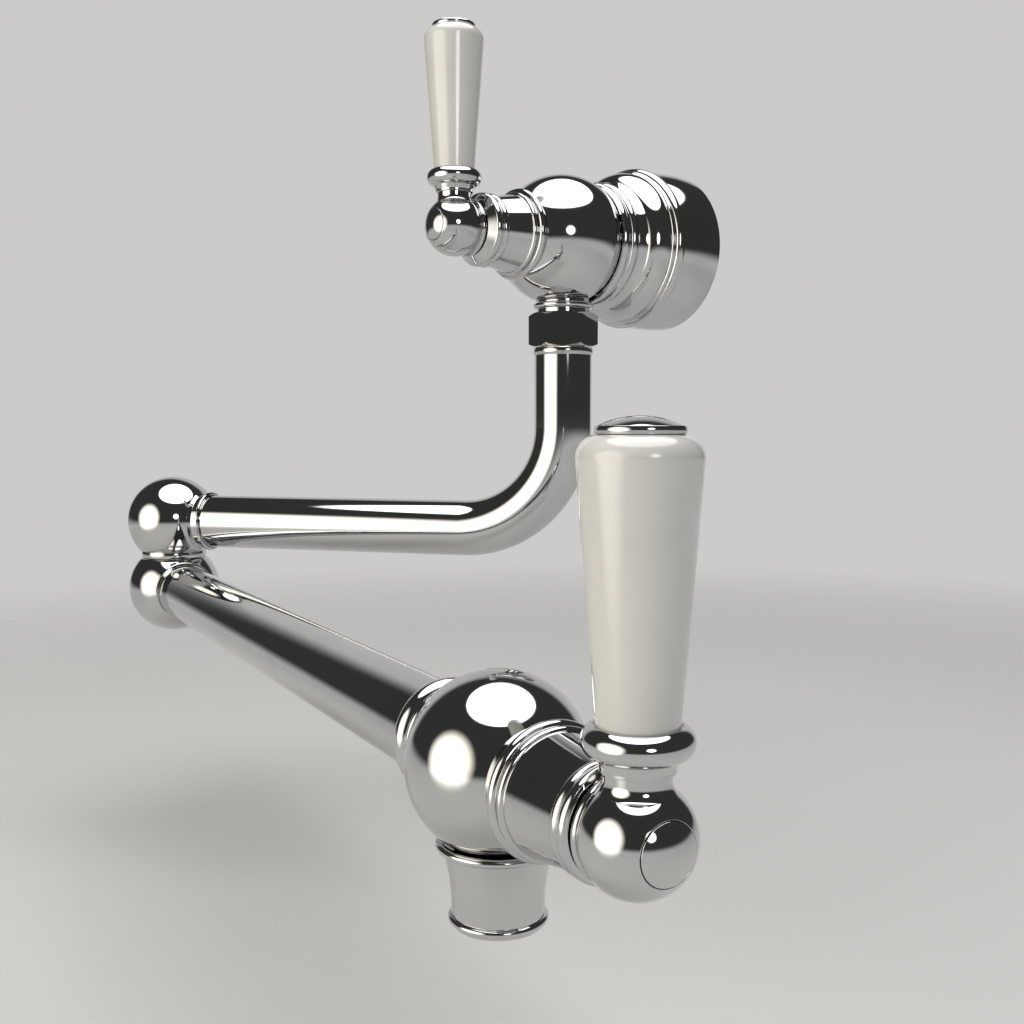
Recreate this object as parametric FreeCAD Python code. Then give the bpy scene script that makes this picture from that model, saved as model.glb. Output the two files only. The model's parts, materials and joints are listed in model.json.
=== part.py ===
import FreeCAD, Part
import math
import os

# Wall mounted pot filler: two ball-bodied quarter-turn taps joined by a two-part swinging arm.
# Millimetres.  The wall is the plane y = 0, the tap stands out from it along -Y, +Z is up, and the
# origin is the centre of the water inlet at the wall.

# ---------------------------------------------------------------- pose in which the arms rest
inner_arm_swing = 34.7            # degrees that the inner arm stands off the wall, towards -X
outer_arm_swing = 9.85            # degrees that the outer arm stands off the wall, back towards +X

# ---------------------------------------------------------------- fits
screwed_gap = 0.05                # radial gap of pieces that are screwed or pressed together
running_gap = 0.06                # radial gap of a shaft that turns in its bore
face_gap = 0.1                    # gap between flat faces that slide on each other
free_gap = 0.3                    # gap between moving pieces that never touch
hub_gap = 0.8                     # gap between a bonnet and the hub that turns in front of it
bead_gap = 0.3                    # flat groove between two neighbouring beads
groove_room = 0.2                 # room at each side of a rubber ring in its groove
socket_room = 0.5                 # room beyond a nose or a screw in its hole
tenon_room = 0.2                  # room beyond a tube's tenon in its socket
cut_over = 1.0                    # how far a cutter runs past the face that it cuts

# ---------------------------------------------------------------- arms
tube_radius = 11.0
tube_wall = 1.5
shoulder_from_wall = 54.0         # wall to the vertical axis on which the inner arm swings
inner_arm_drop = 110.8            # inlet axis down to the inner arm's axis
inner_arm_reach = 173.1           # shoulder axis to elbow axis
inner_arm_bend = 40.0             # centre-line radius of the bend
outer_arm_reach = 296.8           # elbow axis to the centre of the front valve
tube_tenon_radius = 10.3          # the tube's end, turned down to enter a socket
tube_tenon_length = 5.2

# ---------------------------------------------------------------- wall flange and inlet
flange_wall_radius = 31.0
flange_belly_radius = 31.15
flange_belly_at = 8.0
flange_bead_radius = 31.2
flange_bead_at = 20.9
flange_bead_width = 4.4
flange_groove_radius = 29.5
flange_fine_bead_radius = 29.8
flange_fine_bead_width = 1.5
flange_dome_start_radius = 28.9
flange_dome_mid_radius = 27.75
flange_dome_mid_at = 30.0
flange_dome_end_radius = 24.7
flange_dome_end_at = 33.0
flange_flare_mid_radius = 23.65
flange_flare_mid_at = 34.8
flange_flare_end_radius = 23.1
flange_neck_radius = 22.6
flange_neck_bead_radius = 23.7
flange_neck_bead_width = 3.2
flange_neck_groove_width = 1.0
flange_mouth_bead_radius = 23.3
flange_mouth_bead_width = 3.0
flange_depth = 43.7               # leaves the neck of the valve's outlet free
flange_wall = 2.2
flange_web_at = 12.0
flange_web_thickness = 4.0
flange_dome_wall = 3.1            # metal behind the foot of the dome
flange_rim_width = 1.6            # metal rim that touches the wall round the gasket
gasket_thickness = 1.4
gasket_width = 3.9
gasket_ledge = 2.4                # metal behind the gasket

shank_radius = 13.0
shank_length = 25.0
shank_nose_radius = 10.4
shank_nose_length = 11.0
inlet_thread_radius = 9.3         # G1/2 female thread, at its crests
inlet_thread_depth = 13.0
inlet_seat_radius = 9.0            # recess below the thread, for the strainer and its washer
inlet_bore = 6.5
inlet_washer_thickness = 1.5
strainer_thickness = 0.4
strainer_hole = 0.6
strainer_pitch = 2.0
inlet_seal_thickness = 1.2

# ---------------------------------------------------------------- parts that both valves share
seat_at = -6.0                    # all "_at" values of a valve are measured from its ball's centre
outlet_overlap = 1.2              # how far the outlet's bore rises into the chamber
seal_thickness = 1.4
disc_thickness = 3.0
disc_slip = 0.05                  # film of water between the two ceramic discs
port_angle = 66.0
port_inner_share = 2.4            # radius at which the discs' ports begin
port_rim = 1.4                    # ceramic left outside the ports
cage_wall = 0.9
seal_lip = 0.5                    # how far the seal under the discs stands into the inlet's bore
cage_annulus = 1.4                # waterway between the cartridge's cage and the chamber
cage_window_height = 4.0
foot_thickness = 2.0
thrust_collar_radius = 5.4
gland_at = 8.0
cartridge_head_at = 19.6
cartridge_head_height = 5.8
stem_radius = 4.0
stem_ring_places = (12.5, 16.5)
stem_ring_cord = 0.52
clip_thickness = 0.8
clip_radius = 5.3
clip_groove_depth = 0.6
clip_opening = 3.0
boss_root = 3.0                   # how far the blank of a boss reaches into its ball
bonnet_seat_at = 20.3
bonnet_thread_length = 5.2
bonnet_wall = 1.6
bonnet_end_wall = 2.2
bonnet_hole_clearance = 0.5

# ---------------------------------------------------------------- lever, the same on both valves
hub_radius = 10.5
hub_ring_radius = 10.15
hub_ring_width = 1.6
hub_ring_relief = 0.4             # how far the ring's edges lie below its crest
hub_groove_radius = 9.2
hub_groove_width = 0.3
hub_neck_radius = 5.9
hub_neck_flare = 3.0              # radius of the hollow curve from the ball into the neck
hub_neck_top = 11.6
plug_radius = 5.5
plug_thickness = 1.6              # at its rim
hub_screw_radius = 2.0
hub_screw_head_radius = 3.6
hub_screw_head_height = 2.6
hub_screw_reach = 9.0
hub_screw_key = 2.5
hub_screw_key_floor = 1.0         # metal under the key's socket
hub_web = 2.4                     # metal between the spindle's end and the screw's head
collar_foot_radius = 6.6
collar_foot_height = 0.7
collar_waist_radius = 7.1
collar_waist_at = 13.8
collar_bead_radius = 9.75
collar_bead_at = 16.7
collar_cup_radius = 7.95
collar_cup_at = 19.5              # rim of the small cup in which the grip stands
handle_base_at = 19.1
handle_base_radius = 7.23
handle_shoulder_radius = 10.72    # where the taper meets the rounded shoulder
handle_shoulder_round = 3.9
handle_top_at = 67.8
handle_bore_clearance = 0.4
lever_rod_radius = 3.0
lever_rod_foot_at = 6.2
cap_rim_radius = 7.7
cap_rim_height = 1.4
cap_rim_relief = 0.2
cap_dome_radius = 7.1
cap_dome_height = 1.7
cap_boss_radius = 5.8
cap_boss_length = 6.0
cap_roof = 1.4                    # metal over the rod in the cap

# ---------------------------------------------------------------- swivel under the wall valve
outlet_neck_radius = 10.0
outlet_bead_radius = 11.6
outlet_bead_at = 24.6             # these "_at" values are measured down from the inlet axis
outlet_bead_width = 2.2
outlet_thread_radius = 10.1
outlet_end_at = 33.0
swivel_bore = 6.6
swivel_washer_thickness = 1.1
swivel_spigot_top_at = 22.0
swivel_ring_places = (25.5, 29.5)
swivel_ring_cord = 0.7
swivel_flange_thickness = 2.6
swivel_tail_bore = 4.3
swivel_tail_radius = 8.55
swivel_plug_length = 9.0
nut_top_at = 27.3
nut_lip = 3.2
nut_flats = 23.0
nut_chamfer = 1.1
arm_collar_radius = 11.6
arm_collar_roof = 0.8
arm_collar_height = 2.9
arm_collar_relief = 0.4
ring_edge = 0.6                   # how far the square edges of the arm's rings stand off the tube

# ---------------------------------------------------------------- elbow
elbow_ball_radius = 18.8
elbow_spacing = 28.8              # between the two balls' centres
elbow_flat_at = 12.75             # ball's centre to the flat that faces the other ball
elbow_neck_radius = 11.25
elbow_neck_end = 17.8
elbow_neck_start_radius = 12.3
elbow_neck_flare = 1.2            # length of the cone from the ball into its neck
elbow_socket_depth = tube_tenon_length + tenon_room
elbow_water_bore = 5.0
elbow_bore_wall = 1.1             # metal between the lower ball's bearing and its water bore
elbow_arm_bore = 7.0
elbow_thread_radius = 7.0
elbow_thread_top = 6.0            # upper ball's centre down to the spindle's top
elbow_thread_relief = 2.0
elbow_shaft_radius = 7.5
elbow_spindle_bore = 4.5
elbow_head_radius = 9.0
elbow_head_thickness = 3.4
elbow_ledge_at = 2.1              # lower ball's centre up to the ledge that the head hangs on
elbow_thrust_thickness = 1.0
elbow_cavity_radius = 9.4
elbow_cavity_floor = 12.0
elbow_plug_radius = 9.8
elbow_ring_places = (6.0, 10.0)
elbow_ring_cord = 0.68
elbow_collar_radius = 13.4
elbow_collar_relief = 0.3
elbow_collar_thickness = elbow_spacing - 2 * elbow_flat_at - free_gap
end_ring_radius = 12.4
end_ring_width = 1.5

# ---------------------------------------------------------------- arm collar at the front valve
front_collar_radius = 13.3
front_collar_width = 5.0
front_collar_step_radius = 12.3
front_collar_step_width = 2.0

# ---------------------------------------------------------------- spout under the front valve
spout_thread_radius = 8.6
spout_thread_end = 22.4           # these values are measured down from the front ball's centre
spout_top_at = 16.0
spout_top_radius = 11.9
spout_bead_radius = 13.1
spout_bead_at = 16.8
spout_shoulder_radius = 11.7
spout_shoulder_at = 17.6
spout_waist_radius = 9.7
spout_waist_at = 30.4
spout_mid_radius = 10.4
spout_mid_at = 22.8
spout_ring_radius = 10.5
spout_ring_at = 32.3
spout_ring_width = 1.7
spout_end_radius = 9.6
spout_end_at = 33.7
spout_washer_thickness = 1.3
spout_bore = 5.8
aerator_radius = 8.25
aerator_wall = 1.2
aerator_height = 6.4
aerator_recess = 0.4
aerator_core_height = 4.0
aerator_hole = 0.75
aerator_pitch = 2.0
aerator_insert_recess = 0.3
aerator_insert_rim = 0.5

rounding = 1e-9                   # a square this small is zero
ORIGIN = FreeCAD.Vector(0, 0, 0)
EAST = FreeCAD.Vector(1, 0, 0)
NORTH = FreeCAD.Vector(0, 1, 0)
UP = FreeCAD.Vector(0, 0, 1)


class Valve:
    """Sizes in which the wall valve and the front valve differ."""

    def __init__(self, **sizes):
        self.__dict__.update(sizes)
        self.cage_radius = self.chamber_radius - cage_annulus
        self.disc_radius = self.cage_radius - cage_wall - face_gap


wall_valve = Valve(
    ball_radius=24.5, outlet_setback=1.7, chamber_radius=10.5,
    rear_boss_radius=14.0, rear_boss_end=29.5, rear_socket_radius=shank_nose_radius + screwed_gap,
    rear_socket_depth=shank_nose_length + socket_room - inlet_seal_thickness,
    front_boss_radius=14.6, thread_radius=13.0, bonnet_foot_radius=15.3,
    bead_radius=16.6, bead_at=21.8, bead_width=2.6, fine_bead_radius=15.0, fine_bead_width=1.6,
    cone_base_radius=14.1, cone_end_radius=12.3, cone_end_at=34.4,
    nose_bead_height=0.8, nose_bead_width=2.6, bonnet_end_at=41.9, bonnet_end_radius=9.6,
    hub_at=49.6)

front_valve = Valve(
    ball_radius=19.4, outlet_setback=0.0, chamber_radius=8.8,
    rear_boss_radius=11.9, rear_boss_end=18.6, rear_socket_radius=tube_tenon_radius + screwed_gap,
    rear_socket_depth=tube_tenon_length + tenon_room,
    front_boss_radius=11.2, thread_radius=10.0, bonnet_foot_radius=12.6,
    bead_radius=13.9, bead_at=21.8, bead_width=2.4, fine_bead_radius=13.2, fine_bead_width=1.7,
    cone_base_radius=12.4, cone_end_radius=10.6, cone_end_at=38.4,
    nose_bead_height=0.45, nose_bead_width=2.1, bonnet_end_at=43.2, bonnet_end_radius=9.8,
    hub_at=49.5)


# ================================================================ drawing and placing
class Outline:
    """Half section of a turned piece, drawn as (radius, distance along its axis)."""

    def __init__(self, radius, along):
        self.first = FreeCAD.Vector(radius, 0, along)
        self.pen = self.first
        self.edges = []

    def to(self, radius, along):
        end = FreeCAD.Vector(radius, 0, along)
        self.edges.append(Part.LineSegment(self.pen, end).toShape())
        self.pen = end
        return self

    def curve(self, via, end):
        middle = FreeCAD.Vector(via[0], 0, via[1])
        last = FreeCAD.Vector(end[0], 0, end[1])
        self.edges.append(Part.Arc(self.pen, middle, last).toShape())
        self.pen = last
        return self

    def ball(self, centre, radius, end):
        """Arc of a sphere whose centre lies on the axis, upwards to a place along the axis."""
        circle = Part.Circle(UP * centre, NORTH * -1, radius)
        last = FreeCAD.Vector(half_chord(radius, end - centre), 0, end)
        span = [circle.parameter(point) for point in (self.pen, last)]
        self.edges.append(Part.ArcOfCircle(circle, *span).toShape())
        self.pen = last
        return self

    def dome(self, height):
        """Shallow dome from the pen up to the axis."""
        radius = (self.pen.x ** 2 + height ** 2) / (2 * height)
        top = self.pen.z + height
        return self.ball(top - radius, radius, top)

    def bead(self, crest, width):
        """Round bead that starts and ends at the pen's radius."""
        base, start = self.pen.x, self.pen.z
        return self.curve((crest, start + width / 2), (base, start + width))

    def turned(self):
        self.to(self.first.x, self.first.z)
        face = Part.Face(Part.Wire(self.edges))
        return face.revolve(ORIGIN, UP, 360)


def half_chord(radius, offset):
    square = radius ** 2 - offset ** 2
    return math.sqrt(square) if square > rounding else 0


def rod(radius, start, end):
    return Part.makeCylinder(radius, end - start, FreeCAD.Vector(0, 0, start))


def sleeve(inner, outer, start, end):
    return rod(outer, start, end).cut(rod(inner, start, end))


def hexagon(flats, start, end):
    corner = flats / math.sqrt(3)
    points = [FreeCAD.Vector(corner * math.cos(k * math.pi / 3), corner * math.sin(k * math.pi / 3), start)
              for k in range(7)]
    return Part.Face(Part.makePolygon(points)).extrude(UP * (end - start))


def o_rings(bottom_radius, cord, places):
    """Rings of round cord that lie in grooves, one at each place along the axis."""
    rings = [Part.makeTorus(bottom_radius + cord, cord, UP * place) for place in places]
    return Part.makeCompound(rings)


def grooves(shaft_radius, bottom_radius, cord, places):
    width = 2 * (cord + groove_room)
    cuts = [sleeve(bottom_radius, shaft_radius + cut_over, place - width / 2, place + width / 2)
            for place in places]
    return Part.makeCompound(cuts)


def grid_of_holes(hole, pitch, within, start, end):
    """Holes on a triangular grid, as many as fit inside a circle."""
    rows = int(within / pitch) + 1
    holes = []
    for row in range(-rows, rows + 1):
        for column in range(-2 * rows, 2 * rows + 1):
            x = pitch * (column + row / 2)
            y = pitch * row * math.sqrt(3) / 2
            if math.hypot(x, y) + hole <= within:
                holes.append(Part.makeCylinder(hole, end - start, FreeCAD.Vector(x, y, start)))
    return Part.makeCompound(holes)


def placed(shape, origin, turn):
    copy = shape.copy()
    copy.Placement = FreeCAD.Placement(origin, turn).multiply(copy.Placement)
    return copy


def aimed(shape, origin, axis):
    """Z of the drawing goes along a level axis, and Y of the drawing stays upright."""
    turn = FreeCAD.Rotation(UP.cross(axis), UP, axis, "ZYX")
    return placed(shape, origin, turn)


def upright(shape, along=0):
    """In a valve's or elbow's drawing: Z of a turned piece goes up, at a place along the axis."""
    return placed(shape, UP * along, FreeCAD.Rotation(EAST, -90))


def hanging(shape, along=0):
    return placed(shape, UP * along, FreeCAD.Rotation(EAST, 90))


def level(degrees):
    angle = math.radians(degrees)
    return FreeCAD.Vector(math.cos(angle), math.sin(angle), 0)


# ================================================================ places in the whole tap
wall_axis = NORTH * -1
wall_ball = wall_axis * (shoulder_from_wall + wall_valve.outlet_setback)
shoulder = wall_axis * shoulder_from_wall
inner_arm_axis = level(180 + inner_arm_swing)
outer_arm_axis = level(-outer_arm_swing)
shoulder_foot = shoulder - UP * inner_arm_drop
upper_elbow = shoulder_foot + inner_arm_axis * inner_arm_reach
lower_elbow = upper_elbow - UP * elbow_spacing
front_ball = lower_elbow + outer_arm_axis * outer_arm_reach


# ================================================================ wall flange and inlet
def wall_flange():
    """Stepped drum, open behind, with a web that is screwed on the shank and a mouth round the ball."""
    outline = Outline(flange_wall_radius, 0)
    bead_start = flange_bead_at - flange_bead_width / 2
    outline.curve((flange_belly_radius, flange_belly_at), (flange_groove_radius, bead_start))
    outline.bead(flange_bead_radius, flange_bead_width)
    fine_start = bead_start + flange_bead_width + bead_gap
    outline.to(flange_groove_radius - bead_gap, fine_start)
    outline.bead(flange_fine_bead_radius, flange_fine_bead_width)
    dome_start = fine_start + flange_fine_bead_width + bead_gap
    outline.to(flange_dome_start_radius, dome_start)
    outline.curve((flange_dome_mid_radius, flange_dome_mid_at), (flange_dome_end_radius, flange_dome_end_at))
    mouth_bead_start = flange_depth - flange_mouth_bead_width
    neck_bead_start = mouth_bead_start - flange_neck_groove_width - flange_neck_bead_width
    flare_end = neck_bead_start - bead_gap
    outline.curve((flange_flare_mid_radius, flange_flare_mid_at), (flange_flare_end_radius, flare_end))
    outline.to(flange_neck_radius, neck_bead_start)
    outline.bead(flange_neck_bead_radius, flange_neck_bead_width)
    outline.to(flange_neck_radius, mouth_bead_start)
    outline.bead(flange_mouth_bead_radius, flange_mouth_bead_width)
    mouth_behind_ball = shoulder_from_wall + wall_valve.outlet_setback - flange_depth
    mouth = half_chord(wall_valve.ball_radius, mouth_behind_ball) + free_gap
    outline.to(mouth, flange_depth).to(mouth, flare_end)
    outline.to(flange_dome_start_radius - flange_dome_wall, dome_start)
    inside = flange_groove_radius - flange_wall
    outline.to(inside, flange_bead_at)
    outline.to(inside, flange_web_at + flange_web_thickness)
    outline.to(shank_radius + screwed_gap, flange_web_at + flange_web_thickness)
    outline.to(shank_radius + screwed_gap, flange_web_at)
    outline.to(inside, flange_web_at)
    gasket_outer = flange_wall_radius - flange_rim_width
    gasket_inner = gasket_outer - gasket_width
    ledge_end = gasket_thickness + gasket_ledge
    outline.to(inside, ledge_end).to(gasket_inner, ledge_end)
    outline.to(gasket_inner, gasket_thickness).to(gasket_outer, gasket_thickness)
    outline.to(gasket_outer, 0)
    return aimed(outline.turned(), ORIGIN, wall_axis)


def wall_gasket():
    outer = flange_wall_radius - flange_rim_width - screwed_gap
    inner = flange_wall_radius - flange_rim_width - gasket_width
    return aimed(sleeve(inner, outer, 0, gasket_thickness), ORIGIN, wall_axis)


inlet_seat_end = inlet_thread_depth + strainer_thickness + inlet_washer_thickness


def inlet_shank():
    end = shank_length + shank_nose_length
    body = rod(shank_radius, 0, shank_length).fuse(rod(shank_nose_radius, shank_length, end))
    body = body.cut(rod(inlet_thread_radius, 0, inlet_thread_depth))
    body = body.cut(rod(inlet_seat_radius, 0, inlet_seat_end))
    return aimed(body.cut(rod(inlet_bore, 0, end)), ORIGIN, wall_axis)


def inlet_washer():
    start = inlet_seat_end - inlet_washer_thickness
    ring = sleeve(inlet_bore, inlet_seat_radius - screwed_gap, start, inlet_seat_end)
    return aimed(ring, ORIGIN, wall_axis)


def inlet_strainer():
    end = inlet_thread_depth + strainer_thickness
    disc = rod(inlet_seat_radius - screwed_gap, inlet_thread_depth, end)
    mesh = grid_of_holes(strainer_hole, strainer_pitch, inlet_bore, inlet_thread_depth, end)
    return aimed(disc.cut(mesh), ORIGIN, wall_axis)


def inlet_seal():
    end = shank_length + inlet_seal_thickness
    ring = sleeve(shank_nose_radius + screwed_gap, shank_radius, shank_length, end)
    return aimed(ring, ORIGIN, wall_axis)


# ================================================================ pieces of a valve, along its axis
def ball_blank(valve):
    """Ball with a boss at its back and, at its front, a boss and the bonnet's thread."""
    thread_end = bonnet_seat_at + bonnet_thread_length
    outline = Outline(0, -valve.rear_boss_end)
    outline.to(valve.rear_boss_radius, -valve.rear_boss_end)
    outline.to(valve.rear_boss_radius, -half_chord(valve.ball_radius, valve.rear_boss_radius))
    outline.ball(0, valve.ball_radius, half_chord(valve.ball_radius, valve.front_boss_radius))
    outline.to(valve.front_boss_radius, bonnet_seat_at)
    outline.to(valve.thread_radius, bonnet_seat_at)
    outline.to(valve.thread_radius, thread_end)
    outline.to(0, thread_end)
    return outline.turned()


def bored_body(valve, bottom_boss, outlet_bore, outlet_end):
    """The ball with its inlet, its chamber and the boss and bore of its outlet underneath."""
    body = ball_blank(valve).fuse(hanging(bottom_boss, -valve.outlet_setback))
    socket_end = valve.rear_socket_depth - valve.rear_boss_end
    body = body.cut(rod(valve.rear_socket_radius, -valve.rear_boss_end, socket_end))
    body = body.cut(rod(inlet_bore, -valve.rear_boss_end, 0))
    body = body.cut(rod(valve.chamber_radius, seat_at, bonnet_seat_at + bonnet_thread_length))
    outlet = rod(outlet_bore, valve.chamber_radius - outlet_overlap, outlet_end)
    return body.cut(hanging(outlet, -valve.outlet_setback))


def wall_valve_body():
    ball_floor = half_chord(wall_valve.ball_radius, outlet_neck_radius) - boss_root
    bead_start = outlet_bead_at - outlet_bead_width / 2
    boss = Outline(0, ball_floor).to(outlet_neck_radius, ball_floor).to(outlet_neck_radius, bead_start)
    boss.bead(outlet_bead_radius, outlet_bead_width)
    boss.to(outlet_thread_radius, bead_start + outlet_bead_width)
    boss.to(outlet_thread_radius, outlet_end_at).to(0, outlet_end_at)
    return bored_body(wall_valve, boss.turned(), swivel_bore, outlet_end_at)


def front_valve_body():
    boss = rod(spout_thread_radius, 0, spout_thread_end)
    return bored_body(front_valve, boss, spout_bore, spout_thread_end)


def cartridge_seal(valve):
    return sleeve(inlet_bore - seal_lip, valve.cage_radius, seat_at, seat_at + seal_thickness)


def ports(valve, start, end, turn):
    """Two kidney-shaped ports, opposite each other."""
    outer = valve.disc_radius - port_rim
    cuts = []
    for middle in (turn, turn + 180):
        wide = Part.makeCylinder(outer, end - start, UP * start, UP, port_angle)
        slim = Part.makeCylinder(port_inner_share, end - start, UP * start, UP, port_angle)
        port = wide.cut(slim)
        port.rotate(ORIGIN, UP, middle - port_angle / 2)
        cuts.append(port)
    return Part.makeCompound(cuts)


fixed_disc_at = seat_at + seal_thickness
moving_disc_at = fixed_disc_at + disc_thickness + disc_slip
foot_at = moving_disc_at + disc_thickness


def fixed_disc(valve):
    end = fixed_disc_at + disc_thickness
    return rod(valve.disc_radius, fixed_disc_at, end).cut(ports(valve, fixed_disc_at, end, 0))


def moving_disc(valve):
    disc = rod(valve.disc_radius, moving_disc_at, foot_at)
    return disc.cut(ports(valve, moving_disc_at, foot_at, 90))


def cartridge_body(valve):
    """Cage round the discs, threaded neck, hexagon head and the gland in which the spindle turns."""
    outline = Outline(valve.disc_radius + face_gap, fixed_disc_at)
    outline.to(valve.cage_radius, fixed_disc_at).to(valve.cage_radius, gland_at)
    outline.to(valve.chamber_radius - screwed_gap, gland_at)
    outline.to(valve.chamber_radius - screwed_gap, cartridge_head_at)
    outline.to(stem_radius + running_gap, cartridge_head_at)
    outline.to(stem_radius + running_gap, gland_at)
    outline.to(valve.disc_radius + face_gap, gland_at)
    body = outline.turned()
    head_end = cartridge_head_at + cartridge_head_height
    head = hexagon((valve.chamber_radius - free_gap) * math.sqrt(3), cartridge_head_at, head_end)
    body = body.fuse(head.cut(rod(stem_radius + running_gap, cartridge_head_at, head_end)))
    window = Part.makeBox(2 * valve.chamber_radius, valve.disc_radius, cage_window_height,
                          FreeCAD.Vector(-valve.chamber_radius, -valve.disc_radius / 2,
                                         gland_at - cage_window_height - face_gap))
    return body.cut(window)


def spindle(valve):
    """Foot that drives the moving disc, thrust collar and the long stem that carries the hub."""
    foot_end = foot_at + foot_thickness
    foot = rod(valve.disc_radius + face_gap - free_gap, foot_at, foot_end)
    body = foot.cut(ports(valve, foot_at, foot_end, 90))
    body = body.fuse(rod(thrust_collar_radius, foot_end, gland_at - face_gap))
    body = body.fuse(rod(stem_radius, foot_end, valve.hub_at))
    body = body.cut(grooves(stem_radius, stem_radius - 2 * stem_ring_cord, stem_ring_cord, stem_ring_places))
    clip_start = clip_at()
    body = body.cut(sleeve(stem_radius - clip_groove_depth, stem_radius + cut_over,
                           clip_start, clip_start + clip_thickness))
    return body.cut(rod(hub_screw_radius, valve.hub_at - hub_screw_reach, valve.hub_at))


def clip_at():
    return cartridge_head_at + cartridge_head_height + face_gap


def spindle_rings():
    return o_rings(stem_radius - 2 * stem_ring_cord, stem_ring_cord, stem_ring_places)


def spindle_clip():
    start = clip_at()
    ring = sleeve(stem_radius - clip_groove_depth, clip_radius, start, start + clip_thickness)
    opening = Part.makeBox(clip_radius + cut_over, clip_opening, clip_thickness,
                           FreeCAD.Vector(0, -clip_opening / 2, start))
    return ring.cut(opening)


def bonnet(valve):
    """Cone with a bead at its foot and two at its nose; it screws over the valve body's thread."""
    bead_start = valve.bead_at - valve.bead_width / 2
    fine_start = bead_start + valve.bead_width + bead_gap
    thread = valve.thread_radius + screwed_gap
    outline = Outline(thread, bonnet_seat_at)
    outline.to(valve.bonnet_foot_radius, bonnet_seat_at)
    outline.to(valve.bonnet_foot_radius, bead_start)
    outline.bead(valve.bead_radius, valve.bead_width)
    outline.to(valve.cone_base_radius, fine_start)
    outline.bead(valve.fine_bead_radius, valve.fine_bead_width)
    nose_base = valve.cone_end_radius
    nose_at = valve.cone_end_at + valve.nose_bead_width + bead_gap
    outline.to(nose_base, valve.cone_end_at)
    outline.bead(nose_base + valve.nose_bead_height, valve.nose_bead_width).to(nose_base, nose_at)
    outline.bead(nose_base + valve.nose_bead_height, valve.nose_bead_width)
    outline.to(valve.bonnet_end_radius, valve.bonnet_end_at)
    hole = stem_radius + bonnet_hole_clearance
    outline.to(hole, valve.bonnet_end_at).to(hole, valve.bonnet_end_at - bonnet_end_wall)
    outline.to(nose_base - bonnet_wall, valve.bonnet_end_at - bonnet_end_wall)
    thread_end = bonnet_seat_at + bonnet_thread_length
    outline.to(valve.cone_base_radius - bonnet_wall, thread_end + free_gap)
    outline.to(thread, thread_end + free_gap)
    return outline.turned()


# ================================================================ pieces of a lever
def lever_hub(valve):
    """Ball on the spindle's end, with a ring behind it and a neck that carries the lever."""
    tip = hub_radius + hub_neck_flare
    flare_at = half_chord(tip, hub_neck_radius + hub_neck_flare)
    meet = hub_radius / tip
    corner = math.atan2(flare_at, hub_neck_radius + hub_neck_flare) / 2
    neck = Outline(0, -hub_radius).ball(0, hub_radius, flare_at * meet)
    neck.curve((hub_neck_radius + hub_neck_flare * (1 - math.cos(corner)),
                flare_at - hub_neck_flare * math.sin(corner)), (hub_neck_radius, flare_at))
    neck.to(hub_neck_radius, hub_neck_top).to(0, hub_neck_top)
    body = upright(neck.turned(), valve.hub_at)

    ring_start = valve.bonnet_end_at + hub_gap
    ring_end = ring_start + hub_ring_width
    behind = valve.hub_at - 2 * hub_radius
    body = body.cut(rod(hub_ring_radius, behind, ring_end + hub_groove_width))
    ring = Outline(0, ring_start).to(hub_ring_radius - hub_ring_relief, ring_start)
    ring.bead(hub_ring_radius, hub_ring_width).to(hub_groove_radius, ring_end)
    ring.to(hub_groove_radius, ring_end + 2 * hub_groove_width).to(0, ring_end + 2 * hub_groove_width)
    body = body.fuse(ring.turned()).cut(rod(2 * hub_radius, behind, ring_start))

    body = body.cut(rod(stem_radius + screwed_gap, ring_start, valve.hub_at + face_gap))
    body = body.cut(rod(hub_screw_radius + screwed_gap, valve.hub_at, valve.hub_at + hub_radius))
    pocket = valve.hub_at + hub_web
    body = body.cut(rod(plug_radius + screwed_gap, pocket, valve.hub_at + hub_radius))
    rod_hole = rod(lever_rod_radius + screwed_gap, lever_rod_foot_at, hub_neck_top)
    return body.cut(upright(rod_hole, valve.hub_at))


def hub_screw(valve):
    head_start = valve.hub_at + hub_web
    head_end = head_start + hub_screw_head_height
    screw = rod(hub_screw_head_radius, head_start, head_end)
    tip = valve.hub_at - hub_screw_reach + socket_room
    screw = screw.fuse(rod(hub_screw_radius - screwed_gap, tip, head_start))
    return screw.cut(hexagon(hub_screw_key, head_start + hub_screw_key_floor, head_end))


def hub_plug(valve):
    rim = half_chord(hub_radius, plug_radius)
    outline = Outline(0, rim - plug_thickness).to(plug_radius, rim - plug_thickness).to(plug_radius, rim)
    outline.ball(0, hub_radius, hub_radius)
    return placed(outline.turned(), UP * valve.hub_at, FreeCAD.Rotation())


def lever_collar():
    """Round bead on the neck, with a small cup on top in which the grip stands."""
    cup = handle_base_radius + free_gap
    outline = Outline(lever_rod_radius + screwed_gap, hub_neck_top)
    outline.to(collar_foot_radius, hub_neck_top)
    outline.to(collar_foot_radius, hub_neck_top + collar_foot_height)
    outline.to(collar_waist_radius, collar_waist_at)
    outline.curve((collar_bead_radius, collar_bead_at), (collar_cup_radius, collar_cup_at))
    outline.to(cup, collar_cup_at).to(cup, handle_base_at)
    outline.to(lever_rod_radius + screwed_gap, handle_base_at)
    return outline.turned()


def lever_rod():
    return rod(lever_rod_radius, lever_rod_foot_at, handle_top_at - cap_roof)


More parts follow.
